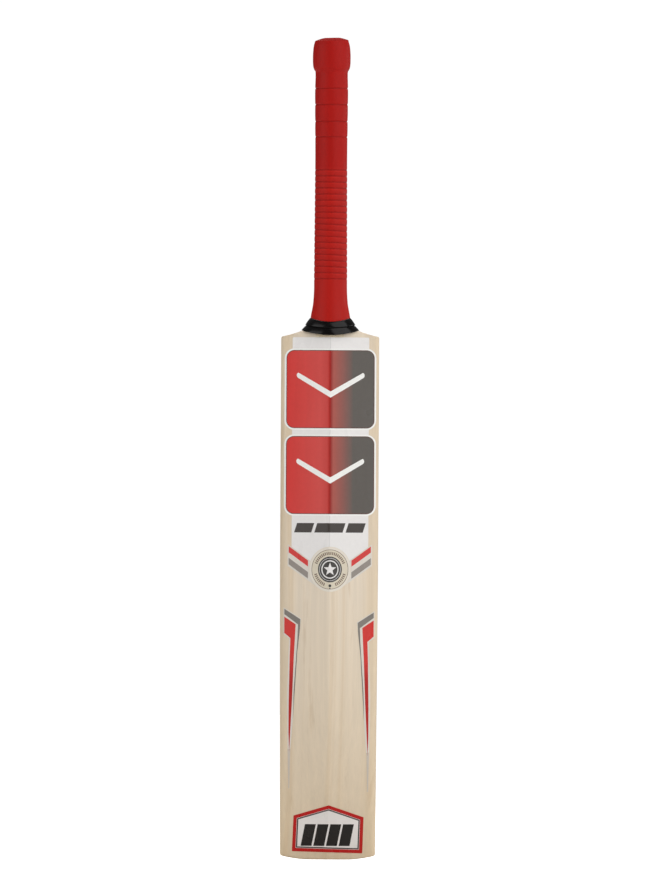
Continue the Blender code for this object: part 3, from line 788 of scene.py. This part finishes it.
def label_point(across, row, lift):
    """A point over the back. across is the distance from the ridge where the flank has its widest flat."""
    x = across / flat_width(TAPER_HEIGHT) * flat_width(row)
    step = 0.05
    right = surface_point(x + step, row) - surface_point(x - step, row)
    up = surface_point(x, row + step) - surface_point(x, row - step)
    return surface_point(x, row) + right.cross(up).normalized() * lift


def on_surface(x, height):
    row = row_at(x, height)
    return Vector((x * flat_width(TAPER_HEIGHT) / flat_width(row), row))


def even_outline(outline):
    """The outline in across and row, with points added so that no side is longer than one label step."""
    even = []
    for (x, height), (next_x, next_height) in zip(outline, outline[1:] + outline[:1], strict=True):
        count = math.ceil(math.hypot(next_x - x, next_height - height) / LABEL_STEP)
        for step in range(count):
            share = step / count
            even.append(on_surface(x + (next_x - x) * share, height + (next_height - height) * share))
    return even


def is_inside(point, outline):
    inside = False
    for start, end in zip(outline, outline[1:] + outline[:1], strict=True):
        if (start.y > point.y) != (end.y > point.y):
            crossing = start.x + (end.x - start.x) * (point.y - start.y) / (end.y - start.y)
            if crossing > point.x:
                inside = not inside
    return inside


def column_places(row):
    """How far across each of the blade's columns runs at a row."""
    widest = flat_width(TAPER_HEIGHT)
    corner = back_corner(row) / flat_width(row)
    places = [share * widest for share in COLUMNS]
    places += [(1 + corner * math.sin(math.radians(angle))) * widest for angle in CORNER_ANGLES]
    return [-place for place in reversed(places[1:])] + places


def make_label(name, outline, materials, prints, node):
    """A thin sheet on the blade's back. Each print, (outline, material number), covers the ones before."""
    edge = even_outline(outline)
    areas = [(even_outline(area), number) for area, number in prints]
    low = min(point.y for point in edge)
    high = max(point.y for point in edge)
    left = min(point.x for point in edge) - 1.0
    right = max(point.x for point in edge) + 1.0
    rows = [low - 1.0, *[row for row in ROWS if low < row < high], high + 1.0]
    guides = [[Vector((left, row)), Vector((right, row))] for row in rows[1:-1]]
    for places in zip(*map(column_places, rows), strict=True):
        if left < min(places) or max(places) < right:
            guides.append([Vector((place, row)) for place, row in zip(places, rows, strict=True)])
    points = []
    lines = []
    for ring in [edge] + [area for area, _ in areas]:
        first = len(points)
        lines += [(first + i, first + (i + 1) % len(ring)) for i in range(len(ring))]
        points += ring
    for guide in guides:
        lines += [(len(points) + i, len(points) + i + 1) for i in range(len(guide) - 1)]
        points += guide
    flat_points, _, triangles, *_ = delaunay_2d_cdt(points, lines, [], 0, LABEL_WELD)
    kept = []
    numbers = []
    for triangle in triangles:
        centre = sum((flat_points[i] for i in triangle), Vector((0.0, 0.0))) / len(triangle)
        if is_inside(centre, edge):
            kept.append(triangle)
            numbers.append(print_at(centre, areas))
    points, faces, indices = sheet_mesh(flat_points, kept, numbers)
    mesh = mesh_of(name, points, faces)
    mesh.polygons.foreach_set("material_index", indices)
    piece(name, mesh, materials, node)


def print_at(point, areas):
    """The material number of the topmost print at a point, or 0 on the bare sheet."""
    found = 0
    for area, number in areas:
        if is_inside(point, area):
            found = number
    return found


def sheet_mesh(flat_points, triangles, numbers):
    """The under side, the upper side and the rim of a sheet, from flat triangles that all turn one way."""
    used = sorted({i for triangle in triangles for i in triangle})
    place = {old: new for new, old in enumerate(used)}
    under = [label_point(*flat_points[i], LABEL_GAP) for i in used]
    upper = [label_point(*flat_points[i], LABEL_GAP + LABEL_THICKNESS) for i in used]
    faces = []
    indices = []
    sides = set()
    for triangle, number in zip(triangles, numbers, strict=True):
        corners = [place[i] for i in triangle]
        faces.append(tuple(corners))
        faces.append(tuple(corner + len(used) for corner in reversed(corners)))
        indices += [0, number]
        sides |= set(zip(corners, corners[1:] + corners[:1], strict=True))
    for start, end in sorted(sides):
        if (end, start) not in sides:
            faces.append((start, end, end + len(used), start + len(used)))
            indices.append(0)
    return under + upper, faces, indices


def arc(centre, radius, squeeze, start, end, count):
    """Points on an ellipse whose width is squeeze times its height, between two angles in degrees."""
    angles = [math.radians(start + (end - start) * step / count) for step in range(count + 1)]
    return [(centre[0] + radius * squeeze * math.cos(a), centre[1] + radius * math.sin(a)) for a in angles]


def seal_circle(height, radius, count=64):
    return arc((SEAL_X, height), radius, SEAL_SQUEEZE, 0.0, 360.0, count)[:-1]


def inset(outline, distance):
    """A convex outline drawn in by a distance."""
    middle = sum((Vector(point) for point in outline), Vector((0.0, 0.0))) / len(outline)
    drawn = []
    around = zip(outline[-1:] + outline[:-1], outline, outline[1:] + outline[:1], strict=True)
    for before, here, after in around:
        here = Vector(here)
        lines = []
        for start, end in ((Vector(before), here), (here, Vector(after))):
            along = (end - start).normalized()
            normal = Vector((-along.y, along.x))
            if normal.dot(middle - start) < 0:
                normal = -normal
            lines.append(normal)
        first, second = lines
        shift = (first + second) * distance / (1 + first.dot(second))
        drawn.append(tuple(here + shift))
    return drawn


def right_stripe(outline):
    """The left stripe's outline, mirrored to the right side and moved down a little."""
    return [(2 * STRIPE_CENTRE - x, height - STRIPE_DROP) for x, height in outline]


def chevron_line(top, x):
    """The height of a line that falls from the outer edge to the ridge on both sides."""
    return top - CHEVRON_SLOPE * (CHEVRON_OUTER - abs(x - CENTRE_X))


def seal_angle(top, side, clear=SEAL_RADIUS + 2 * GAP):
    """The angle on the seal's clear circle where a chevron line meets it, by halving the search."""
    low, high = (-45.0, 89.0)
    for _ in range(30):
        middle = (low + high) / 2
        x = SEAL_X + side * clear * SEAL_SQUEEZE * math.cos(math.radians(middle))
        above = SEAL_HEIGHT + clear * math.sin(math.radians(middle)) > chevron_line(top, x)
        low, high = (low, middle) if above else (middle, high)
    return middle if side > 0 else 180.0 - middle


def panel_side(x, sign, low, high, radius=PANEL_RADIUS):
    """One side of a round-cornered panel, from low to high."""
    inner = x - sign * radius
    lower = arc((inner, low + radius), radius, 1.0, -90.0, 0.0, 8)
    upper = arc((inner, high - radius), radius, 1.0, 0.0, 90.0, 8)
    return [(inner + sign * (px - inner), z) for px, z in lower + upper]


def label_side(edge, panel_edge, sign):
    """The main label's side from bottom to top, stepping out round each panel."""
    past = sign * (edge - panel_edge) + PANEL_RADIUS
    turned = PANEL_RADIUS - math.sqrt(PANEL_RADIUS**2 - past**2)
    side = []
    for low, high in reversed(PANEL_SPANS):
        stretch = panel_side(panel_edge, sign, low, high)
        side.append((edge, low + turned))
        side += [(x, z) for x, z in stretch if sign * (x - edge) > 0]
        side.append((edge, high - turned))
    return side


def back_label_outline():
    clear_top = CHEVRON_TOP + GAP
    clear = SEAL_RADIUS + GAP
    left_angle = seal_angle(clear_top, -1, clear)
    right_angle = seal_angle(clear_top, 1, clear)
    outline = arc((SEAL_X, SEAL_HEIGHT), clear, SEAL_SQUEEZE, left_angle, right_angle, 24)
    outline.append((LABEL_RIGHT, chevron_line(clear_top, LABEL_RIGHT)))
    outline += label_side(LABEL_RIGHT, PANEL_RIGHT, 1)
    outline += [(LABEL_RIGHT, LABEL_TOP - LABEL_CORNER), (LABEL_RIGHT - LABEL_CORNER, LABEL_TOP)]
    outline += [(LABEL_LEFT + LABEL_CORNER, LABEL_TOP), (LABEL_LEFT, LABEL_TOP - LABEL_CORNER)]
    outline += reversed(label_side(LABEL_LEFT, PANEL_LEFT, -1))
    outline.append((LABEL_LEFT, chevron_line(clear_top, LABEL_LEFT)))
    return outline


def slanted(left, right, low, high, lean):
    """A block whose top stands to the right of its foot by the lean."""
    half = lean / 2
    return [(left - half, low), (right - half, low), (right + half, high), (left + half, high)]


def wide_chevron(top):
    """A panel's V with rounded ends, whose middle is on the ridge."""
    tip = top - PANEL_V_SLOPE * (PANEL_V_REACH - CENTRE_X)
    radius = PANEL_V_THICK / 2
    right_cap = arc((PANEL_V_REACH, top - radius), radius, 1.0, -60, 60, 6)
    left_cap = arc((2 * CENTRE_X - PANEL_V_REACH, top - radius), radius, 1.0, 120, 240, 6)
    return [(CENTRE_X, tip - PANEL_V_THICK), *right_cap, (CENTRE_X, tip), *left_cap]


def panel_box(low, high, edge):
    """A panel's outline, drawn in by an edge."""
    radius = PANEL_RADIUS - edge
    right = panel_side(PANEL_RIGHT - edge, 1, low + edge, high - edge, radius)
    left = panel_side(PANEL_LEFT + edge, -1, low + edge, high - edge, radius)
    return right + left[::-1]


def make_back_label(*materials):
    """The main label, with two panels. Materials: white with a painted shade line along the ridge, panel
    print with painted sheen, dark, bright white, panel edge.
    """
    prints = []
    for low, high in PANEL_SPANS:
        prints.append((panel_box(low, high, PANEL_TRIM), 3))
        prints.append((panel_box(low, high, PANEL_OUTLINE), 4))
        prints.append((panel_box(low, high, PANEL_LINE), 1))
        prints.append((wide_chevron((low + high) / 2 + PANEL_V_RISE), 3))
    for left, right in NAME_BARS:
        prints.append((slanted(left, right, *NAME_BAR_HEIGHTS, NAME_BAR_LEAN), 2))
    make_label("main_label", back_label_outline(), materials, prints, "back_label")


def chevron_bar(side, top, thick):
    """One bar of a chevron."""
    outer, inner = CHEVRON_BAR_REACH
    drops = [CHEVRON_SLOPE * (CHEVRON_OUTER - reach) for reach in (outer, inner)]
    x1, x2 = CENTRE_X + side * outer, CENTRE_X + side * inner
    z1, z2 = (top - drop for drop in drops)
    return [(x1, z1), (x2, z2), (x2, z2 - thick), (x1, z1 - thick)]


def make_chevrons(*materials):
    """The slanting labels beside the seal. Materials: pale, red, grey."""
    for side, name in ((-1, "left"), (1, "right")):
        outer = CENTRE_X + side * CHEVRON_OUTER
        top = seal_angle(CHEVRON_TOP, side)
        bottom = seal_angle(CHEVRON_BOTTOM, side)
        inner = arc((SEAL_X, SEAL_HEIGHT), SEAL_RADIUS + GAP, SEAL_SQUEEZE, top, bottom, 12)
        outline = [(outer, CHEVRON_BOTTOM), (outer, CHEVRON_TOP)] + inner
        prints = [(chevron_bar(side, *bar), number) for number, bar in enumerate(CHEVRON_BARS, 1)]
        node = f"chevron_label_{name}"
        make_label(f"chevron_{name}", outline, materials, prints, node)


def seal_point(outward, turn):
    """A point on the seal at a distance from its centre, with the angle in radians."""
    return (SEAL_X + outward * SEAL_SQUEEZE * math.cos(turn), SEAL_HEIGHT + outward * math.sin(turn))


def star(outer, inner):
    radii = (outer, inner)
    return [seal_point(radii[step % 2], math.radians(90 + 36 * step)) for step in range(10)]


def tick(angle):
    """A short radial mark on the seal."""
    length, width = SEAL_TICK_SIZE
    turn = math.radians(angle)
    outward = Vector((math.cos(turn), math.sin(turn)))
    sideways = Vector((-outward.y, outward.x))
    corners = []
    for along, across in ((-1, -1), (1, -1), (1, 1), (-1, 1)):
        point = outward * (SEAL_TICK_RADIUS + along * length / 2) + sideways * (across * width / 2)
        corners.append((SEAL_X + point.x * SEAL_SQUEEZE, SEAL_HEIGHT + point.y))
    return corners


def make_seal(*materials):
    """The round sticker on the spine. Materials: cream, tan, line, dark, white."""
    prints = [(seal_circle(SEAL_HEIGHT, radius), number) for radius, number in SEAL_RINGS]
    prints.append((star(*SEAL_STAR), 4))
    for first, count in SEAL_TICKS:
        prints += [(tick(first + SEAL_TICK_STEP * step), 2) for step in range(count)]
    for (height, radius), count in zip(SEAL_DOTS, (16, 10), strict=True):
        prints.append((seal_circle(height, radius, count), 3))
    make_label("seal", seal_circle(SEAL_HEIGHT, SEAL_RADIUS), materials, prints, "seal_label")


def make_stripes(*materials):
    """The flags near the edges, with their thin tails. Materials: pale, red, grey, faint grey."""
    outlines = [STRIPE, STRIPE_TAIL, STRIPE_BAND, STRIPE_FLAG]
    for name, areas in (("left", outlines), ("right", [right_stripe(area) for area in outlines])):
        prints = list(zip(areas[1:], (3, 2, 1), strict=True))
        node = f"stripe_label_{name}"
        make_label(f"side_stripe_{name}", areas[0], materials, prints, node)


def make_badge(*materials):
    """The five-sided sticker at the toe. Materials: red, white, line, black."""
    prints = [(inset(BADGE, distance), number) for distance, number in BADGE_INSETS]
    for left in BADGE_BARS:
        prints.append((slanted(left, left + BADGE_BAR_WIDTH, *BADGE_BAR_HEIGHTS, BADGE_BAR_LEAN), 3))
    make_label("toe_badge_print", BADGE, materials, prints, "toe_badge")


# ---------------------------------------------------------------- materials


class Finish:
    """One material and the nodes that feed its Principled shader."""

    def __init__(self, name):
        self.material = bpy.data.materials.new(name)
        self.material.use_nodes = True
        self.tree = self.material.node_tree
        self.shader = self.tree.nodes["Principled BSDF"]
        self.place = self.node("ShaderNodeTexCoord").outputs["Object"]

    def node(self, kind, inputs=None, **settings):
        made = self.tree.nodes.new(kind)
        for key, value in settings.items():
            setattr(made, key, value)
        for key, value in (inputs or {}).items():
            self.feed(made.inputs[key], value)
        return made

    def feed(self, socket, value):
        if isinstance(value, bpy.types.NodeSocket):
            self.tree.links.new(value, socket)
        else:
            socket.default_value = value

    def maths(self, operation, first, second=0.0):
        return self.node("ShaderNodeMath", {0: first, 1: second}, operation=operation).outputs[0]

    def stretched(self, x, y, z):
        """The place scaled along each axis: a small z makes patterns run up the bat."""
        return self.node("ShaderNodeMapping", {"Vector": self.place, "Scale": (x, y, z)}).outputs["Vector"]

    def noise(self, place, scale, detail=2.0, roughness=0.5):
        inputs = {"Vector": place, "Scale": scale, "Detail": detail, "Roughness": roughness}
        return self.node("ShaderNodeTexNoise", inputs).outputs["Fac"]

    def grain(self, stretch, scale, detail=2.0, roughness=0.5):
        """Noise whose pattern runs up the bat, more so the smaller the stretch."""
        return self.noise(self.stretched(1.0, 1.0, stretch), scale, detail, roughness)

    def axis(self, name):
        return self.node("ShaderNodeSeparateXYZ", {0: self.place}).outputs[name]

    def between(self, value, low, high, new_low=0.0, new_high=1.0):
        """The value moved from the range low to high to a new range, and kept inside it."""
        inputs = {"Value": value, "From Min": low, "From Max": high, "To Min": new_low, "To Max": new_high}
        return self.node("ShaderNodeMapRange", inputs).outputs["Result"]

    def ramp(self, value, stops):
        made = self.node("ShaderNodeValToRGB", {"Fac": value})
        elements = made.color_ramp.elements
        while len(elements) < len(stops):
            elements.new(0.5)
        for element, (position, colour) in zip(elements, stops, strict=True):
            element.position = position
            element.color = (*colour, 1.0)
        return made.outputs["Color"]

    def mix(self, share, first, second, blend="MIX"):
        inputs = {0: share, 6: opaque(first), 7: opaque(second)}
        return self.node("ShaderNodeMix", inputs, data_type="RGBA", blend_type=blend).outputs[2]

    def shaded(self, colour, light):
        return self.mix(1.0, colour, light, "MULTIPLY")

    def varied(self, colour, share, amount):
        """The colour made darker and lighter by up to amount, as share runs from 0 to 1."""
        return self.shaded(colour, self.between(share, 0.25, 0.75, 1.0 - amount, 1.0 + amount))

    def bump(self, height, distance, strength=1.0, normal=None):
        made = self.node("ShaderNodeBump", {"Height": height, "Distance": distance, "Strength": strength})
        if normal is not None:
            self.feed(made.inputs["Normal"], normal)
        return made.outputs["Normal"]

    def set(self, colour, roughness, normal=None, specular=0.5):
        self.feed(self.shader.inputs["Base Color"], opaque(colour))
        self.feed(self.shader.inputs["Roughness"], roughness)
        self.feed(self.shader.inputs["Specular IOR Level"], specular)
        if normal is not None:
            self.feed(self.shader.inputs["Normal"], normal)
        return self.material


def opaque(colour):
    return colour if isinstance(colour, bpy.types.NodeSocket) else (*colour, 1.0)


def linear(red, green, blue):
    """Linear colour from display values out of 255."""
    values = []
    for value in (red, green, blue):
        share = value / 255
        values.append(share / 12.92 if share <= 0.04045 else ((share + 0.055) / 1.055) ** 2.4)
    return tuple(values)


def willow_finish():
    """Pale satin willow: growth rings run up the bat, through its thickness, with fine fibres between."""
    f = Finish("willow_finish")
    drift = f.grain(0.25, 14.0, 1.0)
    x = f.axis("X")
    leaning = f.maths("ADD", x, f.maths("MULTIPLY", f.axis("Y"), 0.16))
    wavy = f.maths("ADD", leaning, f.maths("MULTIPLY", drift, 0.012))
    rings = f.node("ShaderNodeTexNoise", {"W": wavy, "Scale": 95.0, "Detail": 2.0}, noise_dimensions="1D")
    streaks = f.grain(0.025, 190.0, 3.0, 0.6)
    fibres = f.grain(0.02, 900.0, 2.0, 0.6)
    colour = f.mix(f.between(f.axis("Z"), 0.0, 0.28), linear(214, 195, 167), linear(222, 207, 186))
    sides = f.between(f.maths("ABSOLUTE", x), 0.034, 0.05, 0.0, 0.4)
    patches = [
        (f.between(rings.outputs["Fac"], 0.52, 0.72, 0.0, 0.45), (205, 179, 142)),
        (f.between(f.grain(0.35, 12.0), 0.55, 0.8, 0.0, 0.35), (213, 192, 158)),
        (sides, (210, 185, 146)),
        (f.between(f.grain(0.1, 70.0, 4.0, 0.65), 0.62, 0.74, 0.0, 0.4), (184, 156, 118)),
    ]
    for share, darker in patches:
        colour = f.mix(share, colour, linear(*darker))
    colour = f.varied(f.varied(colour, streaks, 0.05), fibres, 0.03)
    normal = f.bump(fibres, 0.00006, 0.6, f.bump(streaks, 0.00012, 0.5))
    return f.set(colour, f.between(fibres, 0.2, 0.8, 0.42, 0.58), normal, 0.5)


def cane_finish():
    """Golden cane with dark pores that show as dots on end grain and as dashes along the slips."""
    f = Finish("cane_finish")
    streaks = f.grain(0.02, 420.0, 3.0, 0.6)
    cells = f.node("ShaderNodeTexVoronoi", {"Vector": f.stretched(1.0, 1.0, 0.04), "Scale": 1300.0})
    pores = cells.outputs["Distance"]
    colour = f.mix(f.between(streaks, 0.35, 0.7), linear(224, 205, 172), linear(232, 217, 190))
    colour = f.mix(f.between(pores, 0.12, 0.3, 0.6, 0.0), colour, linear(92, 62, 34))
    normal = f.bump(pores, 0.0001, 0.4, f.bump(streaks, 0.0001, 0.5))
    return f.set(colour, f.between(streaks, 0.2, 0.8, 0.45, 0.65), normal, 0.35)


def spring_finish():
    """Black rubber sheet, dusty and slightly pitted."""
    f = Finish("spring_finish")
    pits = f.noise(f.place, 900.0, 3.0)
    colour = f.mix(f.noise(f.place, 60.0), linear(30, 28, 26), linear(52, 48, 44))
    return f.set(colour, f.between(pits, 0.3, 0.7, 0.7, 0.9), f.bump(pits, 0.0001), 0.3)


def twine_finish():
    """Waxed binding twine, wound in close turns."""
    f = Finish("twine_finish")
    waves = {"Vector": f.place, "Scale": 125.0, "Distortion": 0.4}
    turns = f.node("ShaderNodeTexWave", waves, bands_direction="Z").outputs["Fac"]
    fuzz = f.grain(6.0, 700.0, 3.0)
    colour = f.varied(f.mix(turns, linear(96, 22, 18), linear(172, 46, 36)), fuzz, 0.12)
    normal = f.bump(turns, 0.0004, 0.8, f.bump(fuzz, 0.0001, 0.5))
    return f.set(colour, f.between(fuzz, 0.2, 0.8, 0.6, 0.85), normal, 0.3)


def grip_finish():
    """Matt red rubber with a fine moulded grain. Painted shade darkens the valleys of its ribs and bands
    and the top of its lip, and a painted highlight lightens each rib's rim.
    """
    f = Finish("grip_finish")
    pits = f.noise(f.place, 1500.0, 3.0, 0.6)
    patches = f.grain(0.5, 45.0, 3.0)
    height = f.maths("DIVIDE", f.axis("Z"), MM)
    colour = f.mix(f.between(height, RIB_TOP, RIB_TOP + 4.0), linear(203, 29, 20), linear(194, 22, 15))
    colour = f.varied(f.varied(colour, patches, 0.05), pits, 0.04)
    # Painted shade in the rib valleys and a painted highlight on the rims below them
    colour = f.shaded(colour, rib_shade(f, height))
    # Painted shade in the grooves of the bands
    for groove in GROOVES:
        away = f.maths("ABSOLUTE", f.maths("SUBTRACT", height, groove))
        colour = f.shaded(colour, f.between(away, 0.1, GROOVE_VALLEY, GROOVE_SHADE, 1.0))
    lip = f.between(height, GRIP_LINE[-1][0], GRIP_LINE[-1][0] + LIP_ROUND)
    # Painted shade on the top of the lip
    colour = f.shaded(colour, f.between(lip, 0.0, 1.0, 1.0, LIP_SHADE))
    roughness = f.maths("MAXIMUM", f.between(patches, 0.3, 0.7, 0.46, 0.58), lip)
    return f.set(colour, roughness, f.bump(pits, 0.00008, 0.5), 0.14)


def rib_shade(f, height):
    """How light the grip is painted across its ribs: painted shade in each valley, and a painted highlight
    on the rim just below.
    """
    above = f.maths("SUBTRACT", height, RIB_FOOT)
    span = RIB_TOP - RIB_FOOT
    slant = RIB_SLANT
    for length, rise in RIB_SWAYS:
        wave = f.maths("SINE", f.maths("DIVIDE", above, length))
        slant = f.maths("ADD", slant, f.maths("MULTIPLY", wave, rise))
    low = f.between(above, 0.0, RIB_SETTLE)
    high = f.between(above, span - RIB_SETTLE, span, 1.0, 0.0)
    settled = f.maths("MULTIPLY", slant, f.maths("MULTIPLY", low, high))
    side = f.maths("DIVIDE", f.axis("X"), RIB_REACH * MM)
    level = f.maths("ADD", above, f.maths("MULTIPLY", settled, side))
    part = f.maths("FRACT", f.maths("DIVIDE", f.maths("ADD", level, RIB_PITCH), RIB_PITCH))
    shade = f.ramp(part, [(place, rubber_light(light)) for place, light in RIB_SHADES])
    below_top = f.between(level, span + 0.5, span + 1.5, 1.0, 0.0)
    inside = f.maths("MULTIPLY", f.between(level, -1.5, -0.5), below_top)
    return f.mix(inside, rubber_light(1.0), shade)


def rubber_light(light):
    """A painted shade for the red rubber, which becomes a painted highlight where light is above 1; the
    weak colours change more than the red does.
    """
    return tuple(RUBBER_SCALE * share for share in (light, light**2, light**2))


def collar_finish():
    """Glossy black moulded plastic with faint polishing lines and a little dust."""
    f = Finish("collar_finish")
    haze = f.noise(f.place, 55.0, 3.0)
    lines = f.noise(f.stretched(0.15, 0.15, 4.0), 900.0, 2.0)
    colour = f.mix(f.between(haze, 0.3, 0.75), linear(8, 7, 7), linear(13, 11, 11))
    roughness = f.between(haze, 0.3, 0.7, 0.18, 0.25)
    return f.set(colour, roughness, f.bump(lines, 0.00001, 0.4), 0.22)


def printed(f, colour, amount):
    """Printed vinyl of a colour: faint mottling, a soft gloss and a slight ripple."""
    mottle = f.noise(f.place, 260.0, 3.0, 0.6)
    ripple = f.grain(0.4, 38.0)
    normal = f.bump(ripple, 0.0002, 0.3, f.bump(mottle, 0.00002, 0.4))
    return f.set(f.varied(colour, mottle, amount), f.between(ripple, 0.3, 0.7, 0.25, 0.38), normal, 0.3)


def vinyl(name, *ink):
    return printed(Finish(name), linear(*ink), 0.02)


def vinyl_with_ridge_shade(name, *ink):
    """Printed vinyl with a faint painted shade line along the ridge."""
    f = Finish(name)
    away = f.maths("ABSOLUTE", f.maths("SUBTRACT", f.axis("X"), RIDGE_SHADE_X * MM))
    near, far = RIDGE_SHADE_REACH
    light = f.between(away, near * MM, far * MM, RIDGE_SHADE_LIGHT, 1.0)
    return printed(f, f.shaded(linear(*ink), light), 0.02)


def stripe_red():
    """The side stripes' red, which is deeper along the thin tail."""
    f = Finish("stripe_red")
    colour = f.mix(f.between(f.axis("Z"), 0.192, 0.212), linear(174, 24, 18), linear(204, 44, 38))
    return printed(f, colour, 0.03)


def panel_finish():
    """The panels' print, red on the left flank turning to dark grey across the right flank, with a painted
    sheen that lightens the red towards the ridge and a painted dark reflection on the ridge.
    """
    f = Finish("panel_print_and_sheen")
    stops = [(place, linear(*ink)) for place, ink in PANEL_INKS_AND_SHEEN]
    mottle = f.noise(f.place, 260.0, 3.0, 0.6)
    streaks = f.grain(0.05, 160.0)
    ripple = f.grain(0.4, 38.0)
    colour = f.varied(f.ramp(f.between(f.axis("X"), -0.05, 0.05), stops), mottle, 0.03)
    normal = f.bump(ripple, 0.0002, 0.3, f.bump(streaks, 0.00003, 0.4))
    gloss = f.between(ripple, 0.3, 0.7, 0.27, 0.38)
    return f.set(f.varied(colour, streaks, 0.03), gloss, normal, 0.24)


# ---------------------------------------------------------------- floor, light and camera


def make_floor():
    mesh = bpy.data.meshes.new("floor")
    ring = [(x, y, 0.0) for x, y in arc((0.0, 0.0), FLOOR_RADIUS, 1.0, 0.0, 360.0, 96)[:-1]]
    mesh.from_pydata(ring, [], [tuple(range(len(ring)))])
    f = Finish("floor_finish")
    f.feed(f.shader.inputs["Emission Color"], WHITE)
    f.feed(f.shader.inputs["Emission Strength"], f.node("ShaderNodeLightPath").outputs["Is Camera Ray"])
    mesh.materials.append(f.set(linear(240, 239, 237), 0.9))
    add_object("floor", mesh)


def make_world():
    world = bpy.data.worlds.new("studio")
    world.use_nodes = True
    tree = world.node_tree
    background = tree.nodes["Background"]
    background.inputs["Color"].default_value = WHITE
    path = tree.nodes.new("ShaderNodeLightPath")
    strength = tree.nodes.new("ShaderNodeMapRange")
    strength.inputs["To Min"].default_value = WORLD_GLOW
    strength.inputs["To Max"].default_value = WORLD_SEEN
    tree.links.new(path.outputs["Is Camera Ray"], strength.inputs["Value"])
    tree.links.new(strength.outputs["Result"], background.inputs["Strength"])
    bpy.context.scene.world = world


def softbox(name, azimuth, elevation, width, height, radiance):
    """A soft light aimed at the bat's middle. Azimuth 0 is behind the camera, and 90 is to its right."""
    lamp = bpy.data.lights.new(name, "AREA")
    lamp.shape = "RECTANGLE"
    lamp.size = width
    lamp.size_y = height
    lamp.energy = radiance * math.pi * width * height
    item = add_object(name, lamp)
    a, e = math.radians(azimuth), math.radians(elevation)
    away = Vector((math.sin(a) * math.cos(e), -math.cos(a) * math.cos(e), math.sin(e)))
    item.location = Vector((0.0, 0.0, TOTAL_LENGTH * MM / 2)) + away * LAMP_DISTANCE
    item.rotation_euler = (-away).to_track_quat("-Z", "Y").to_euler()
    item.visible_camera = False


def make_camera():
    camera = bpy.data.cameras.new("camera")
    camera.lens = LENS
    camera.sensor_width = SENSOR
    item = add_object("camera", camera)
    distance = VIEW_HEIGHT * MM * LENS / SENSOR
    x, height = VIEW_CENTRE
    place = Matrix.Translation((x * MM, HANDLE_Y * MM - distance, height * MM))
    upright = Matrix.Rotation(math.radians(90), 4, "X")
    item.matrix_world = place @ upright @ Matrix.Rotation(math.radians(VIEW_ROLL), 4, "Z")
    camera.clip_end = 100.0
    bpy.context.scene.camera = item


def recoat(node_name, material):
    """Give a CAD node that stays in view its material."""
    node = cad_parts[node_name]
    node.data.materials.clear()
    node.data.materials.append(material)


def main():
    make_blade(willow_finish())
    blank = handle_blank()
    make_slips(blank, cane_finish())
    remove(blank)
    rubber = spring_finish()
    for depth in ("back", "middle", "front"):
        recoat(f"rubber_spring_{depth}", rubber)
    recoat("twine_binding", twine_finish())
    make_grip(grip_finish())
    make_collar(collar_finish())
    bright = vinyl("bright_white", 238, 237, 233)
    dark = vinyl("dark_print", 62, 56, 52)
    white = vinyl_with_ridge_shade("label_white", 229, 226, 224)
    make_back_label(white, panel_finish(), dark, bright, vinyl("panel_line", 84, 40, 36))
    pale = vinyl("pale_border", 216, 209, 199)
    grey = vinyl("grey_print", 142, 134, 127)
    make_chevrons(pale, vinyl("chevron_red", 205, 50, 46), grey)
    make_seal(
        vinyl("seal_cream", 223, 215, 203), vinyl("seal_tan", 212, 202, 182),
        vinyl("seal_line", 124, 104, 88), vinyl("seal_dark", 62, 59, 56),
        vinyl("seal_white", 229, 226, 224),
    )
    stripe_greys = [vinyl("stripe_grey", 124, 118, 111), vinyl("faint_grey", 198, 187, 175)]
    make_stripes(pale, stripe_red(), *stripe_greys)
    make_badge(
        vinyl("badge_red", 180, 14, 8), vinyl("badge_white", 226, 221, 217),
        vinyl("badge_line", 66, 60, 56), vinyl("badge_black", 28, 24, 20),
    )
    make_floor()
    make_world()
    for lamp in LAMPS:
        softbox(*lamp)
    make_camera()
    bpy.context.scene.view_settings.view_transform = "Standard"


main()
